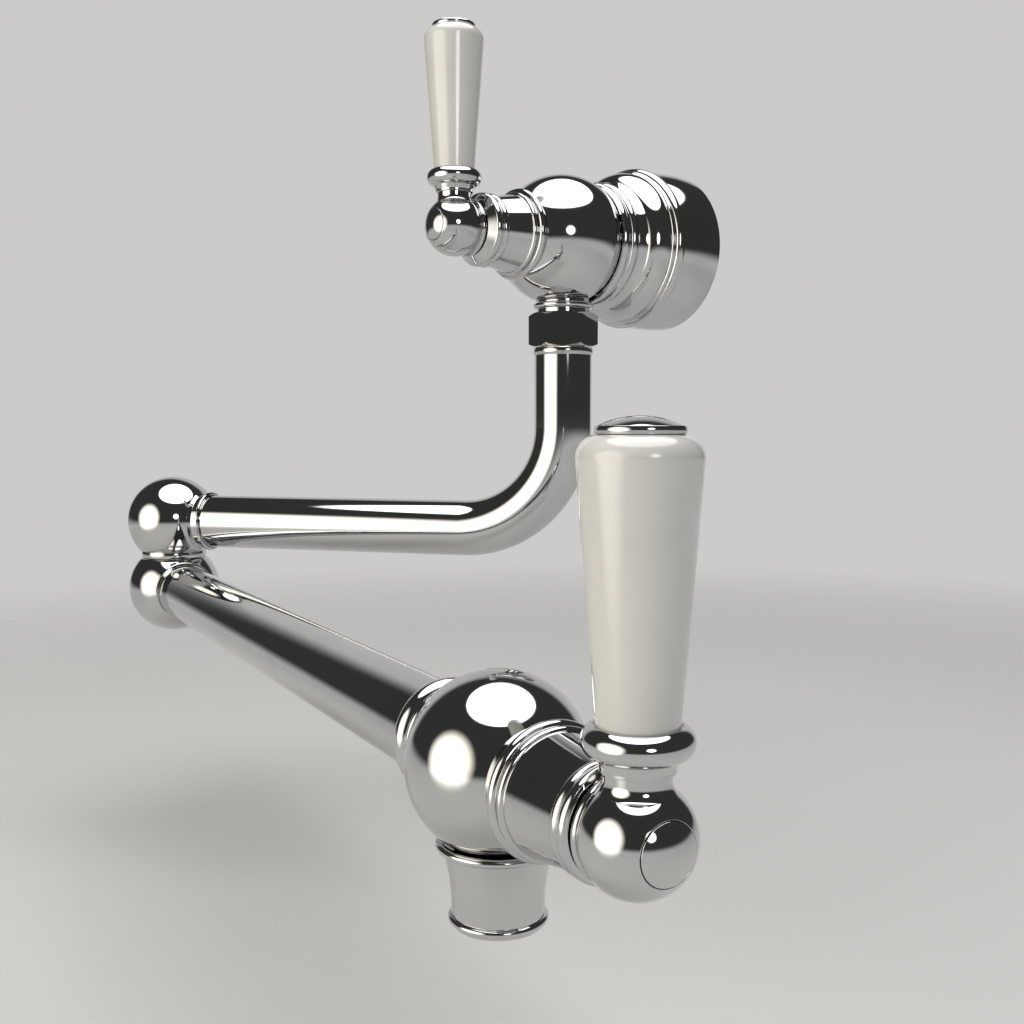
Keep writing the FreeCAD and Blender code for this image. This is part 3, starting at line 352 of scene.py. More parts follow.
class Outline:
    """Half section of a turned piece, drawn as (radius, distance along its axis)."""

    def __init__(self, radius, along, edge=EDGE):
        self.first = Vector((radius, along))
        self.pen = self.first
        self.runs = []
        self.edge = edge

    def to(self, radius, along):
        end = Vector((radius, along))
        if (end - self.pen).length > TINY:
            self.runs.append(Run(self.pen, end))
        self.pen = end
        return self

    def round(self, centre, end):
        """Shorter arc about a centre."""
        a, b = self.pen - centre, end - centre
        sweep = math.atan2(a.x * b.y - a.y * b.x, a.dot(b))
        self.runs.append(Run(self.pen, end, centre, sweep))
        self.pen = end
        return self

    def curve(self, via, end):
        """Arc through a middle point."""
        a, b, c = self.pen, Vector(via), Vector(end)
        ab, ac = b - a, c - a
        cross = 2 * (ab.x * ac.y - ab.y * ac.x)
        square_b, square_c = ab.dot(ab), ac.dot(ac)
        centre = a + Vector(((ac.y * square_b - ab.y * square_c) / cross,
                             (ab.x * square_c - ac.x * square_b) / cross))
        first, middle, last = a - centre, b - centre, c - centre
        to_middle = math.atan2(first.x * middle.y - first.y * middle.x, first.dot(middle))
        onward = math.atan2(middle.x * last.y - middle.y * last.x, middle.dot(last))
        self.runs.append(Run(a, c, centre, to_middle + onward))
        self.pen = c
        return self

    def ball(self, centre, radius, end):
        """Arc of a sphere whose centre lies on the axis, to a place along the axis."""
        return self.round(Vector((0, centre)), Vector((half_chord(radius, end - centre), end)))

    def dome(self, height):
        radius = (self.pen.x ** 2 + height ** 2) / (2 * height)
        top = self.pen.y + height
        return self.ball(top - radius, radius, top)

    def bead(self, crest, width):
        base, start = self.pen.x, self.pen.y
        return self.curve((crest, start + width / 2), (base, start + width))

    def section(self):
        """Points of the closed outline with its corners rounded, each as (point, heading)."""
        self.to(self.first.x, self.first.y)
        followers = self.runs[1:] + self.runs[:1]
        trims = [self.trim(run, follower) for run, follower in zip(self.runs, followers)]
        points = []
        for index, run in enumerate(self.runs):
            before, after = trims[index - 1], trims[index]
            low, high = before / run.length, 1 - after / run.length
            stretch = run.steps()
            for step in range(stretch + 1):
                share = low + (high - low) * step / stretch
                points.append((run.point(share), run.heading(share)))
            if after > 0:
                follower = followers[index]
                land = follower.point(after / follower.length)
                points += self.broken_edge(run.point(high), run.end, land)
        return points

    def trim(self, run, follower):
        """How much of both runs a broken edge takes; none at a slight bend or on the axis."""
        bend = run.heading(1).angle(follower.heading(0))
        if bend < SMOOTH_BEND or run.end.x < TINY:
            return 0.0
        reach = self.edge * math.tan(min(bend, SHARPEST_BEND) / 2)
        return min(reach, EDGE_SHARE * run.length, EDGE_SHARE * follower.length)

    @staticmethod
    def broken_edge(leave, corner, land):
        """Points of a parabola that leaves one run and lands on the next."""
        points = []
        for step in range(1, EDGE_FACETS):
            share = step / EDGE_FACETS
            place = leave * (1 - share) ** 2 + corner * 2 * share * (1 - share) + land * share ** 2
            heading = (corner - leave) * (1 - share) + (land - corner) * share
            points.append((place, heading.normalized()))
        return points


class Ring:
    """One circle of a skin: where it lies, its radius and how its outside faces."""

    def __init__(self, centre, side, up, radius, outward, forward):
        self.centre, self.side, self.up = centre, side, up
        self.radius, self.outward, self.forward = radius, outward, forward


def turned_rings(outline, place):
    points = outline.section()
    area = sum(a[0].x * b[0].y - b[0].x * a[0].y for a, b in zip(points, points[1:] + points[:1]))
    if area < 0:
        points = [(point, -heading) for point, heading in reversed(points)]
    turn = place.to_3x3()
    side, up, forward = turn @ EAST, turn @ NORTH, turn @ UP
    rings = []
    for point, heading in points:
        centre = place @ (UP * point.y)
        rings.append(Ring(centre, side, up, max(point.x, 0.0), heading.y, forward * -heading.x))
    return rings


def skin(rings):
    """Vertices, faces and normals of a closed chain of rings."""
    vertices, normals, faces, starts = [], [], [], []
    for ring in rings:
        starts.append(len(vertices))
        spokes = 1 if ring.radius < TINY else AROUND
        for k in range(spokes):
            angle = 2 * math.pi * k / AROUND
            spoke = ring.side * math.cos(angle) + ring.up * math.sin(angle)
            vertices.append((ring.centre + spoke * ring.radius) * MM)
            if spokes == 1:
                normals.append(ring.forward.normalized())
            else:
                normals.append((spoke * ring.outward + ring.forward).normalized())
    for index, ring in enumerate(rings):
        other = (index + 1) % len(rings)
        faces += band(starts[index], ring.radius < TINY, starts[other], rings[other].radius < TINY)
    return vertices, faces, normals


def band(a, a_is_point, b, b_is_point):
    """Faces between two rings that start at vertices a and b; either may be a point on the axis."""
    faces = []
    if a_is_point and b_is_point:
        return faces
    for k in range(AROUND):
        n = (k + 1) % AROUND
        if a_is_point:
            faces.append((a, b + n, b + k))
        elif b_is_point:
            faces.append((a + k, a + n, b))
        else:
            faces.append((a + k, a + n, b + n, b + k))
    return faces


def join(parts):
    vertices, faces, normals = [], [], []
    for more_vertices, more_faces, more_normals in parts:
        offset = len(vertices)
        vertices += more_vertices
        normals += more_normals
        faces += [tuple(corner + offset for corner in face) for face in more_faces]
    return vertices, faces, normals


def without_repeats(rings):
    """Drops a ring that lies on the one before it."""
    kept = []
    for ring in rings:
        last = kept[-1] if kept else rings[-1]
        same_place = (ring.centre - last.centre).length < TINY and abs(ring.radius - last.radius) < TINY
        if not same_place:
            kept.append(ring)
    return kept


def turned(outline, place):
    return skin(without_repeats(turned_rings(outline, place)))


def add_object(name, data):
    made = bpy.data.objects.new(name, data)
    bpy.context.scene.collection.objects.link(made)
    return made


def show(name, mesh, normals, body, replaced, slot_name):
    """Puts a finished mesh in the scene, on its body and in place of its CAD nodes."""
    mesh.polygons.foreach_set("use_smooth", [True] * len(mesh.polygons))
    mesh.normals_split_custom_set_from_vertices(normals)
    mesh.materials.clear()
    mesh.materials.append(finishes[slot_name])
    part = add_object(name, mesh)
    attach(part, body)
    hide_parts(*replaced)


def piece(name, parts, body, replaced, slot_name="chrome"):
    vertices, faces, normals = join(parts)
    mesh = bpy.data.meshes.new(name)
    mesh.from_pydata(vertices, [], faces)
    show(name, mesh, normals, body, replaced, slot_name)


# ======== finishes
class Signal:
    """A shader socket in an expression."""

    def __init__(self, finish, socket):
        self.finish, self.socket = finish, socket

    def maths(self, operation, first, second):
        return self.finish.node("ShaderNodeMath", {"operation": operation}, {0: first, 1: second})

    def __add__(self, other):
        return self.maths("ADD", self, other)

    def __mul__(self, other):
        return self.maths("MULTIPLY", self, other)

    __radd__ = __add__
    __rmul__ = __mul__


class Finish:
    """One material, lamp or world, and its nodes."""

    def __init__(self, owner):
        owner.use_nodes = True
        self.owner = owner
        self.tree = owner.node_tree
        self.tree.nodes.clear()

    def node(self, kind, settings=None, sockets=None, output=0):
        made = self.tree.nodes.new(kind)
        for key, value in (settings or {}).items():
            setattr(made, key, value)
        for key, value in (sockets or {}).items():
            if isinstance(value, Signal):
                self.tree.links.new(value.socket, made.inputs[key])
            else:
                made.inputs[key].default_value = value
        return Signal(self, made.outputs[output]) if made.outputs else made

    def place(self):
        """Place on the object itself, in metres."""
        return self.node("ShaderNodeTexCoord", output="Object")

    def cloud(self, scale, detail=2.0, roughness=0.5, stretch=(1, 1, 1)):
        """Soft noise between 0 and 1, in blobs of about 1 / scale metres."""
        spot = self.node("ShaderNodeMapping", None, {"Vector": self.place(), "Scale": stretch})
        return self.node("ShaderNodeTexNoise", None,
                         {"Vector": spot, "Scale": scale, "Detail": detail, "Roughness": roughness})

    def span(self, value, low, high, to_low=0.0, to_high=1.0):
        return self.node("ShaderNodeMapRange", {"interpolation_type": "SMOOTHSTEP"},
                         {"Value": value, "From Min": low, "From Max": high,
                          "To Min": to_low, "To Max": to_high})

    def blend(self, share, one, two):
        factor, first_colour, second_colour, mixed_colour = 0, 6, 7, 2
        return self.node("ShaderNodeMix", {"data_type": "RGBA"},
                         {factor: share, first_colour: one, second_colour: two}, output=mixed_colour)

    def bump(self, height, strength, distance):
        return self.node("ShaderNodeBump", None,
                         {"Height": height, "Strength": strength, "Distance": distance})

    def shade(self, **sockets):
        named = {key.replace("_", " "): value for key, value in sockets.items()}
        surface = self.node("ShaderNodeBsdfPrincipled", None, named)
        self.node("ShaderNodeOutputMaterial", None, {"Surface": surface})
        return self.owner


def colour(red, green, blue):
    return (red, green, blue, 1)


def new_finish(name):
    return Finish(bpy.data.materials.new(name))


def chrome_plate():
    """Mirror chrome with the faint haze of handling and hair-fine polishing marks."""
    f = new_finish("chrome_plate")
    haze = f.span(f.cloud(scale=38, detail=3.0), low=0.42, high=0.72)
    hair = f.cloud(scale=900, detail=2.0, roughness=0.6, stretch=(1, 1, 0.12))
    clean, hazed = colour(0.60, 0.605, 0.60), colour(0.555, 0.56, 0.56)
    polish, haze_dulls, hair_dulls = 0.03, 0.035, 0.012
    return f.shade(Base_Color=f.blend(haze, clean, hazed), Metallic=1.0,
                   Roughness=polish + haze * haze_dulls + hair * hair_dulls,
                   Normal=f.bump(hair, strength=0.02, distance=0.00002))


def glazed_ceramic():
    """Thick warm-white glaze, a little uneven over the body, under a clear shine."""
    f = new_finish("glazed_ceramic")
    pooling = f.span(f.cloud(scale=60), low=0.35, high=0.7)
    specks = f.span(f.cloud(scale=2600), low=0.71, high=0.76)
    thin, thick, speck = colour(0.70, 0.695, 0.67), colour(0.67, 0.665, 0.635), colour(0.55, 0.52, 0.46)
    speck_strength = 0.22
    gloss, pooling_dulls = 0.16, 0.06
    waves = f.bump(f.cloud(scale=45, detail=1.0), strength=0.10, distance=0.0004)
    return f.shade(Base_Color=f.blend(specks * speck_strength, f.blend(pooling, thin, thick), speck),
                   Roughness=gloss + pooling * pooling_dulls, Coat_Weight=0.9, Coat_Roughness=0.03,
                   IOR=1.52, Normal=waves)


def turned_metal(name, bright, dull, smooth, rough):
    """Machined metal that was left as it came off the lathe."""
    f = new_finish(name)
    stain = f.span(f.cloud(scale=70, detail=3.0), low=0.35, high=0.7)
    rings = f.cloud(scale=1400, stretch=(1, 1, 0.3))
    rings_dull = 0.08
    return f.shade(Base_Color=f.blend(stain, bright, dull), Metallic=1.0,
                   Roughness=smooth + (rough - smooth) * stain + rings * rings_dull,
                   Normal=f.bump(rings, strength=0.15, distance=0.00005))


def moulded(name, light, dark, gloss, grain_scale, grain_depth):
    """Rubber, fibre or plastic with the grain of its mould."""
    f = new_finish(name)
    grain = f.cloud(grain_scale, detail=3.0, roughness=0.6)
    grain_dulls = 0.12
    return f.shade(Base_Color=f.blend(f.span(grain, low=0.3, high=0.7), light, dark),
                   Roughness=gloss + grain * grain_dulls,
                   Normal=f.bump(grain, strength=0.3, distance=grain_depth))


finishes = {
    "chrome": chrome_plate(),
    "white_glaze": glazed_ceramic(),
    "brass": turned_metal("turned_brass", bright=colour(0.72, 0.53, 0.26), dull=colour(0.55, 0.40, 0.20),
                          smooth=0.22, rough=0.4),
    "steel": turned_metal("turned_steel", bright=colour(0.62, 0.61, 0.59), dull=colour(0.5, 0.49, 0.47),
                          smooth=0.22, rough=0.38),
    "rubber": moulded("black_rubber", light=colour(0.035, 0.035, 0.036), dark=colour(0.02, 0.02, 0.021),
                      gloss=0.5, grain_scale=900, grain_depth=0.00004),
    "washer_fibre": moulded("pale_fibre", light=colour(0.78, 0.77, 0.72), dark=colour(0.68, 0.66, 0.60),
                            gloss=0.6, grain_scale=1500, grain_depth=0.00006),
    "outlet_plastic": moulded("grey_plastic", light=colour(0.20, 0.20, 0.21), dark=colour(0.16, 0.16, 0.17),
                              gloss=0.32, grain_scale=700, grain_depth=0.00003),
    "disc_ceramic": moulded("lapped_ceramic", light=colour(0.80, 0.79, 0.76), dark=colour(0.74, 0.73, 0.70),
                            gloss=0.14, grain_scale=500, grain_depth=0.00001),
}
node_slots = {entry["node"]: entry["material_slot"] for entry in frame["record"]["subparts"]}
for node_name, node_object in frame["nodes"].items():
    node_object.data.materials.clear()
    node_object.data.materials.append(finishes[node_slots[node_name]])


# ======== wall rose
def rose():
    """Stepped drum, open behind, with a web that is screwed on the shank and a mouth round the ball."""
    bead_start = rose_bead_at - rose_bead_width / 2
    fine_start = bead_start + rose_bead_width + bead_gap
    dome_start = fine_start + rose_fine_bead_width + bead_gap
    mouth_bead_start = rose_depth - rose_mouth_bead_width
    neck_bead_start = mouth_bead_start - rose_neck_groove_width - rose_neck_bead_width
    flare_end = neck_bead_start - bead_gap
    mouth = half_chord(wall_tap.ball_radius, wall_ball_from_wall - rose_depth) + free_gap
    outline = Outline(rose_wall_radius, 0)
    outline.curve(rose_belly, (rose_groove_radius, bead_start))
    outline.bead(rose_bead_radius, rose_bead_width)
    outline.to(rose_groove_radius - bead_gap, fine_start)
    outline.bead(rose_fine_bead_radius, rose_fine_bead_width)
    outline.to(rose_dome_start_radius, dome_start)
    outline.curve(rose_dome_middle, rose_dome_end)
    outline.curve(rose_flare_middle, (rose_flare_end_radius, flare_end))
    outline.to(rose_neck_radius, neck_bead_start)
    outline.bead(rose_neck_bead_radius, rose_neck_bead_width)
    outline.to(rose_neck_radius, mouth_bead_start)
    outline.bead(rose_mouth_bead_radius, rose_mouth_bead_width)
    outline.to(mouth, rose_depth).to(mouth, flare_end)
    inside = rose_groove_radius - rose_metal
    web_end = rose_web_at + rose_web_thickness
    thread = shank_radius + screwed_gap
    outline.to(rose_dome_start_radius - rose_dome_metal, dome_start)
    outline.to(inside, rose_bead_at).to(inside, web_end)
    outline.to(thread, web_end).to(thread, rose_web_at).to(inside, rose_web_at)
    ledge_end = gasket_thickness + gasket_ledge
    gasket_outer = rose_wall_radius - rose_rim_width
    gasket_inner = gasket_outer - gasket_width
    outline.to(inside, ledge_end).to(gasket_inner, ledge_end).to(gasket_inner, gasket_thickness)
    return outline.to(gasket_outer, gasket_thickness).to(gasket_outer, 0)


piece("wall_rose", [turned(rose(), at_wall)], "wall_valve", ["wall_flange"])


# ======== taps
def tap_ball(tap):
    """Ball with its bosses, bored for the inlet and for the cartridge."""
    socket_floor = tap.socket_depth - tap.rear_boss_end
    outline = Outline(inlet_bore, socket_floor).to(tap.socket_radius, socket_floor)
    outline.to(tap.socket_radius, -tap.rear_boss_end)
    outline.to(tap.rear_boss_radius, -tap.rear_boss_end)
    outline.to(tap.rear_boss_radius, -half_chord(tap.ball_radius, tap.rear_boss_radius))
    outline.ball(0, tap.ball_radius, half_chord(tap.ball_radius, tap.front_boss_radius))
    outline.to(tap.front_boss_radius, bonnet_seat_at).to(tap.thread_radius, bonnet_seat_at)
    outline.to(tap.thread_radius, bonnet_thread_end).to(tap.chamber_radius, bonnet_thread_end)
    return outline.to(tap.chamber_radius, seat_at).to(inlet_bore, seat_at)


def wall_outlet():
    """Neck under the wall tap's ball, with its bead and the thread for the union nut."""
    root = half_chord(wall_tap.ball_radius, outlet_neck_radius) - outlet_neck_root
    bead_start = outlet_bead_at - outlet_bead_width / 2
    outline = Outline(swivel_bore, root).to(outlet_neck_radius, root)
    outline.to(outlet_neck_radius, bead_start).bead(outlet_bead_radius, outlet_bead_width)
    outline.to(outlet_thread_radius, bead_start + outlet_bead_width)
    return outline.to(outlet_thread_radius, outlet_end_at).to(swivel_bore, outlet_end_at)


def front_outlet():
    """Threaded boss under the front tap's ball."""
    outline = Outline(spout_bore, spout_boss_from).to(spout_thread_radius, spout_boss_from)
    return outline.to(spout_thread_radius, spout_thread_end).to(spout_bore, spout_thread_end)


def cone(tap):
    """Bonnet: cone with a bead at its foot and two small ones at its nose."""
    bead_start = tap.bead_at - tap.bead_width / 2
    fine_start = bead_start + tap.bead_width + bead_gap
    thread = tap.thread_radius + screwed_gap
    outline = Outline(thread, bonnet_seat_at)
    outline.to(tap.foot_radius, bonnet_seat_at).to(tap.foot_radius, bead_start)
    outline.bead(tap.bead_radius, tap.bead_width)
    outline.to(tap.cone_base_radius, fine_start)
    outline.bead(tap.fine_bead_radius, tap.fine_bead_width)
    nose_crest = tap.cone_end_radius + tap.nose_bead_height
    outline.to(tap.cone_end_radius, tap.cone_end_at)
    outline.bead(nose_crest, tap.nose_bead_width)
    outline.to(tap.cone_end_radius, tap.cone_end_at + tap.nose_bead_width + bead_gap)
    outline.bead(nose_crest, tap.nose_bead_width)
    hole = stem_radius + stem_room
    inner_end = tap.nose_end_at - bonnet_end_wall
    outline.to(tap.nose_end_radius, tap.nose_end_at)
    outline.to(hole, tap.nose_end_at).to(hole, inner_end)
    outline.to(tap.cone_end_radius - bonnet_wall, inner_end)
    outline.to(tap.cone_base_radius - bonnet_wall, bonnet_thread_end + free_gap)
    return outline.to(thread, bonnet_thread_end + free_gap)


# ======== levers
def hub_ball(tap):
    """Ball of the hub, from its ring to the seat of its plug, drawn along the tap's axis."""
    ring_start = tap.nose_end_at + hub_gap
    ring_end = ring_start + hub_ring_width
    groove_end = ring_end + hub_groove_width
    stem_fit = stem_radius + screwed_gap
    seat = plug_radius + seam
    outline = Outline(stem_fit, ring_start)
    outline.to(hub_ring_radius - hub_ring_relief, ring_start).bead(hub_ring_radius, hub_ring_width)
    outline.to(hub_groove_radius, ring_end).to(hub_groove_radius, groove_end)
    outline.to(half_chord(hub_radius, groove_end - tap.hub_at), groove_end)
    outline.ball(tap.hub_at, hub_radius, tap.hub_at + half_chord(hub_radius, seat))
    return outline.to(seat, tap.hub_at + hub_web).to(stem_fit, tap.hub_at + hub_web)


def hub_neck():
    """Neck of the hub, which flares into the ball below it."""
    tip = hub_radius + hub_neck_flare
    flare_radius = hub_neck_radius + hub_neck_flare
    flare_at = half_chord(tip, flare_radius)
    foot_radius = flare_radius * hub_radius / tip
    foot_at = flare_at * hub_radius / tip
    outline = Outline(lever_rod_fit, foot_at - hub_neck_root)
    outline.to(foot_radius - hub_neck_root_step, foot_at - hub_neck_root)
    outline.to(foot_radius, foot_at)
    outline.round(Vector((flare_radius, flare_at)), Vector((hub_neck_radius, flare_at)))
    return outline.to(hub_neck_radius, hub_neck_top).to(lever_rod_fit, hub_neck_top)


def hub_plug():
    rim = half_chord(hub_radius, plug_radius)
    outline = Outline(0, rim - plug_thickness).to(plug_radius, rim - plug_thickness).to(plug_radius, rim)
    return outline.ball(0, hub_radius, hub_radius)


def grip_collar():
    """Beaded collar with a shallow cup for the grip."""
    cup_rim = handle_base_at + collar_cup_depth
    cup_bore = handle_base_radius + free_gap
    outline = Outline(lever_rod_fit, hub_neck_top).to(collar_foot_radius, hub_neck_top)
    outline.to(collar_foot_radius, hub_neck_top + collar_foot_height).to(*collar_waist)
    outline.curve(collar_bead, (collar_cup_radius, cup_rim))
    return outline.to(cup_bore, cup_rim).to(cup_bore, handle_base_at).to(lever_rod_fit, handle_base_at)


def grip():
    """Tapered ceramic grip with a rounded shoulder."""
    shoulder_at = handle_top_at - handle_round
    top_radius = handle_shoulder_radius - handle_round
    bulge = handle_round * math.sqrt(0.5)
    bore = lever_rod_radius + handle_bore_room
    cap_fit = cap_boss_radius + screwed_gap
    cap_floor = handle_top_at - cap_boss_length
    outline = Outline(bore, handle_base_at, handle_edge).to(handle_base_radius, handle_base_at)
    outline.to(handle_shoulder_radius, shoulder_at)
    outline.curve((top_radius + bulge, shoulder_at + bulge), (top_radius, handle_top_at))
    return outline.to(cap_fit, handle_top_at).to(cap_fit, cap_floor).to(bore, cap_floor)


def grip_cap():
    """Low domed cap with a rim, on the boss that goes into the grip."""
    boss_end = handle_top_at - cap_boss_length
    rim_top = handle_top_at + cap_rim_height
    rim_edge = cap_rim_radius - cap_rim_relief
    outline = Outline(lever_rod_fit, boss_end).to(cap_boss_radius, boss_end)
    outline.to(cap_boss_radius, handle_top_at).to(rim_edge, handle_top_at)
    outline.curve((cap_rim_radius, handle_top_at + cap_rim_height / 2), (rim_edge, rim_top))
    outline.to(cap_dome_radius, rim_top).dome(cap_dome_height)
    return outline.to(0, handle_top_at - cap_rod_end).to(lever_rod_fit, handle_top_at - cap_rod_end)


def lever(prefix, tap, place, body):
    arm = place @ upright(tap.hub_at)
    hub = [turned(hub_ball(tap), place), turned(hub_neck(), arm)]
    plug_place = place @ Matrix.Translation(UP * tap.hub_at)
    piece(prefix + "_hub_ball", hub, body, [prefix + "_lever_hub"])
    piece(prefix + "_hub_end", [turned(hub_plug(), plug_place)], body, [prefix + "_hub_plug"])
    piece(prefix + "_grip_collar", [turned(grip_collar(), arm)], body, [prefix + "_lever_collar"])
    piece(prefix + "_grip", [turned(grip(), arm)], body, [prefix + "_lever_handle"], "white_glaze")
    piece(prefix + "_grip_cap", [turned(grip_cap(), arm)], body, [prefix + "_lever_cap"])


for prefix, tap, place, body, outlet in (("wall", wall_tap, at_wall_tap, "wall_valve", wall_outlet()),
                                         ("front", front_tap, at_front_tap, "outer_arm", front_outlet())):
    below = place @ hanging(-tap.outlet_setback)
    piece(prefix + "_tap_ball", [turned(tap_ball(tap), place), turned(outlet, below)], body,
          [prefix + "_valve_body"])
    piece(prefix + "_cone", [turned(cone(tap), place)], body, [prefix + "_bonnet"])
    lever(prefix, tap, place, prefix + "_lever")


# ======== union
nut_corner = nut_flats / math.sqrt(3)


def hexagon_blank():
    """Six-sided bar as long as the nut."""
    bm = bmesh.new()
    bmesh.ops.create_cone(bm, cap_ends=True, segments=6, radius1=nut_corner, radius2=nut_corner,
                          depth=nut_end_at - nut_top_at)
    bmesh.ops.rotate(bm, verts=bm.verts, cent=(0, 0, 0), matrix=Matrix.Rotation(nut_turn, 3, "Z"))
    bmesh.ops.translate(bm, verts=bm.verts, vec=(0, 0, (nut_top_at + nut_end_at) / 2))
    mesh = bpy.data.meshes.new("hexagon")
    bm.to_mesh(mesh)
    bm.free()
    return mesh


def nut_limit():
    """Turned solid that chamfers the bar's corners and bores it."""
    outside = nut_corner + nut_past_corners
    bore = swivel_tail_radius + nut_bore_room
    thread = outlet_thread_radius + screwed_gap
    limit = Outline(bore, nut_end_at, edge=0).to(nut_flats / 2, nut_end_at)
    limit.to(nut_corner, nut_end_at - nut_chamfer).to(outside, nut_end_at - nut_chamfer)
    limit.to(outside, nut_top_at + nut_chamfer).to(nut_corner, nut_top_at + nut_chamfer)
    limit.to(nut_flats / 2, nut_top_at).to(thread, nut_top_at)
    limit.to(thread, nut_end_at - nut_lip).to(bore, nut_end_at - nut_lip)
    vertices, faces, _ = turned(limit, Matrix.Identity(4))
    mesh = bpy.data.meshes.new("sleeve")
    mesh.from_pydata([v / MM for v in vertices], [], faces)
    return mesh


def nut():
    """Hexagon nut with its corners chamfered and its edges broken."""
    blank = add_object("nut_blank", hexagon_blank())
    cutter = add_object("nut_limit", nut_limit())
    common = blank.modifiers.new("common", "BOOLEAN")
    common.operation, common.object, common.solver = "INTERSECT", cutter, "EXACT"
    broken = blank.modifiers.new("broken_edges", "BEVEL")
    broken.width, broken.segments, broken.limit_method = nut_edge, nut_edge_facets, "ANGLE"
    broken.angle_limit = nut_edge_from
    solid = bpy.data.meshes.new_from_object(blank.evaluated_get(bpy.context.evaluated_depsgraph_get()))
    for part in (blank, cutter):
        bpy.data.objects.remove(part)
    solid.transform(Matrix.Scale(MM, 4) @ down_shoulder)
    solid.name = "swivel_nut"
    show("swivel_nut", solid, facing_by_area(solid), "wall_valve", ["union_nut"], "chrome")


def facing_by_area(mesh):
    """Normals weighed by the faces' areas, so that flats reflect flat beside their broken edges."""
    facing = [Vector((0, 0, 0)) for _ in mesh.vertices]
    for face in mesh.polygons:
        for corner in face.vertices:
            facing[corner] += face.normal * face.area
    return [normal.normalized() for normal in facing]


nut()


def arm_top_ring():
    """Ring on top of the bent tube, with the sleeve that goes into it."""
    tail_fit = swivel_tail_radius + screwed_gap
    sleeve_radius = tube_bore - screwed_gap
    sleeve_end = tube_top_at + swivel_plug_length
    edge = arm_collar_radius - arm_collar_relief
    end = arm_collar_at + arm_collar_height
    outline = Outline(tail_fit, arm_collar_at).to(edge, arm_collar_at)
    outline.curve((arm_collar_radius, arm_collar_at + arm_collar_height / 2), (edge, end))
    outline.to(tube_fit, end).to(tube_fit, tube_top_at).to(sleeve_radius, tube_top_at)
    return outline.to(sleeve_radius, sleeve_end).to(tail_fit, sleeve_end)


piece("arm_top_ring", [turned(arm_top_ring(), down_shoulder)], "inner_arm", ["inner_arm_collar"])


# ======== arms
def bent_tube():
    """Down from the union, round the bend and out to the elbow, as rings along the tube's line."""
    out = inner_arm_axis
    side = UP.cross(out)
    stations = [(shoulder - UP * tube_top_at, -UP)]
    bend_centre = shoulder_foot + out * inner_arm_bend + UP * inner_arm_bend
    for step in range(BEND_FACETS + 1):
        angle = math.pi / 2 * step / BEND_FACETS
        spoke = out * -math.cos(angle) - UP * math.sin(angle)
        heading = out * math.sin(angle) - UP * math.cos(angle)
        stations.append((bend_centre + spoke * inner_arm_bend, heading))
    neck_at = inner_arm_reach - elbow_neck_end
    neck = shoulder_foot + out * neck_at
    tenon_end = shoulder_foot + out * (neck_at + tenon_length)
    stations.append((neck, out))

    def ring(centre, forward, radius, outward, facing=Vector((0, 0, 0))):
        return Ring(centre, side, forward.cross(side), radius, outward, facing)

    top = stations[0][0]
    rings = [ring(centre, forward, tube_radius, 1.0) for centre, forward in stations]
    rings += [ring(neck, out, tube_radius, 0.0, out), ring(neck, out, tenon_radius, 0.0, out)]
    rings += [ring(neck, out, tenon_radius, 1.0), ring(tenon_end, out, tenon_radius, 1.0)]
    rings += [ring(tenon_end, out, tenon_radius, 0.0, out), ring(tenon_end, out, tube_bore, 0.0, out)]
    rings.append(ring(tenon_end, out, tube_bore, -1.0))
    rings += [ring(centre, forward, tube_bore, -1.0) for centre, forward in reversed(stations)]
    rings += [ring(top, -UP, tube_bore, 0.0, UP), ring(top, -UP, tube_radius, 0.0, UP)]
    return skin(rings)


def straight_tube():
    length = outer_arm_reach - elbow_neck_end - front_tap.rear_boss_end
    outline = Outline(tube_bore, -tenon_length).to(tenon_radius, -tenon_length).to(tenon_radius, 0)
    outline.to(tube_radius, 0).to(tube_radius, length).to(tenon_radius, length)
    return outline.to(tenon_radius, length + tenon_length).to(tube_bore, length + tenon_length)


straight_place = at_lower_elbow @ Matrix.Translation(UP * elbow_neck_end)
piece("bent_arm", [bent_tube()], "inner_arm", ["inner_arm_tube"])
piece("straight_arm", [turned(straight_tube(), straight_place)], "outer_arm", ["outer_arm_tube"])


# ======== elbow
def arm_end_ring():
    """Bead round a tube where it meets the elbow."""
    outline = Outline(tube_fit, elbow_neck_end).to(tube_radius + ring_edge, elbow_neck_end)
    outline.bead(end_ring_radius, end_ring_width)
    return outline.to(tube_fit, elbow_neck_end + end_ring_width)


def top_ball():
    """Upper ball, cut flat underneath; drawn along the elbow's upright axis."""
    thread = elbow_thread_radius + screwed_gap
    outline = Outline(thread, -elbow_flat_at)
    outline.to(half_chord(elbow_ball_radius, elbow_flat_at), -elbow_flat_at)
    outline.ball(0, elbow_ball_radius, elbow_ball_radius)
    return outline.to(0, elbow_top_floor).to(thread, elbow_top_floor)


def bottom_ball():
    """Lower ball, cut flat on top and bored from below for its dome."""
    dome_fit = elbow_plug_radius + screwed_gap
    seam_radius = elbow_plug_radius + seam
    rim = half_chord(elbow_ball_radius, seam_radius)
    shaft_fit = elbow_shaft_radius + running_gap
    outline = Outline(dome_fit, -elbow_cavity_floor)
    outline.to(seam_radius, elbow_seam_depth - rim).to(seam_radius, -rim)
    outline.ball(0, elbow_ball_radius, elbow_flat_at)
    outline.to(shaft_fit, elbow_flat_at).to(shaft_fit, elbow_ledge_at)
    return outline.to(elbow_cavity_radius, elbow_ledge_at).to(elbow_cavity_radius, -elbow_cavity_floor)


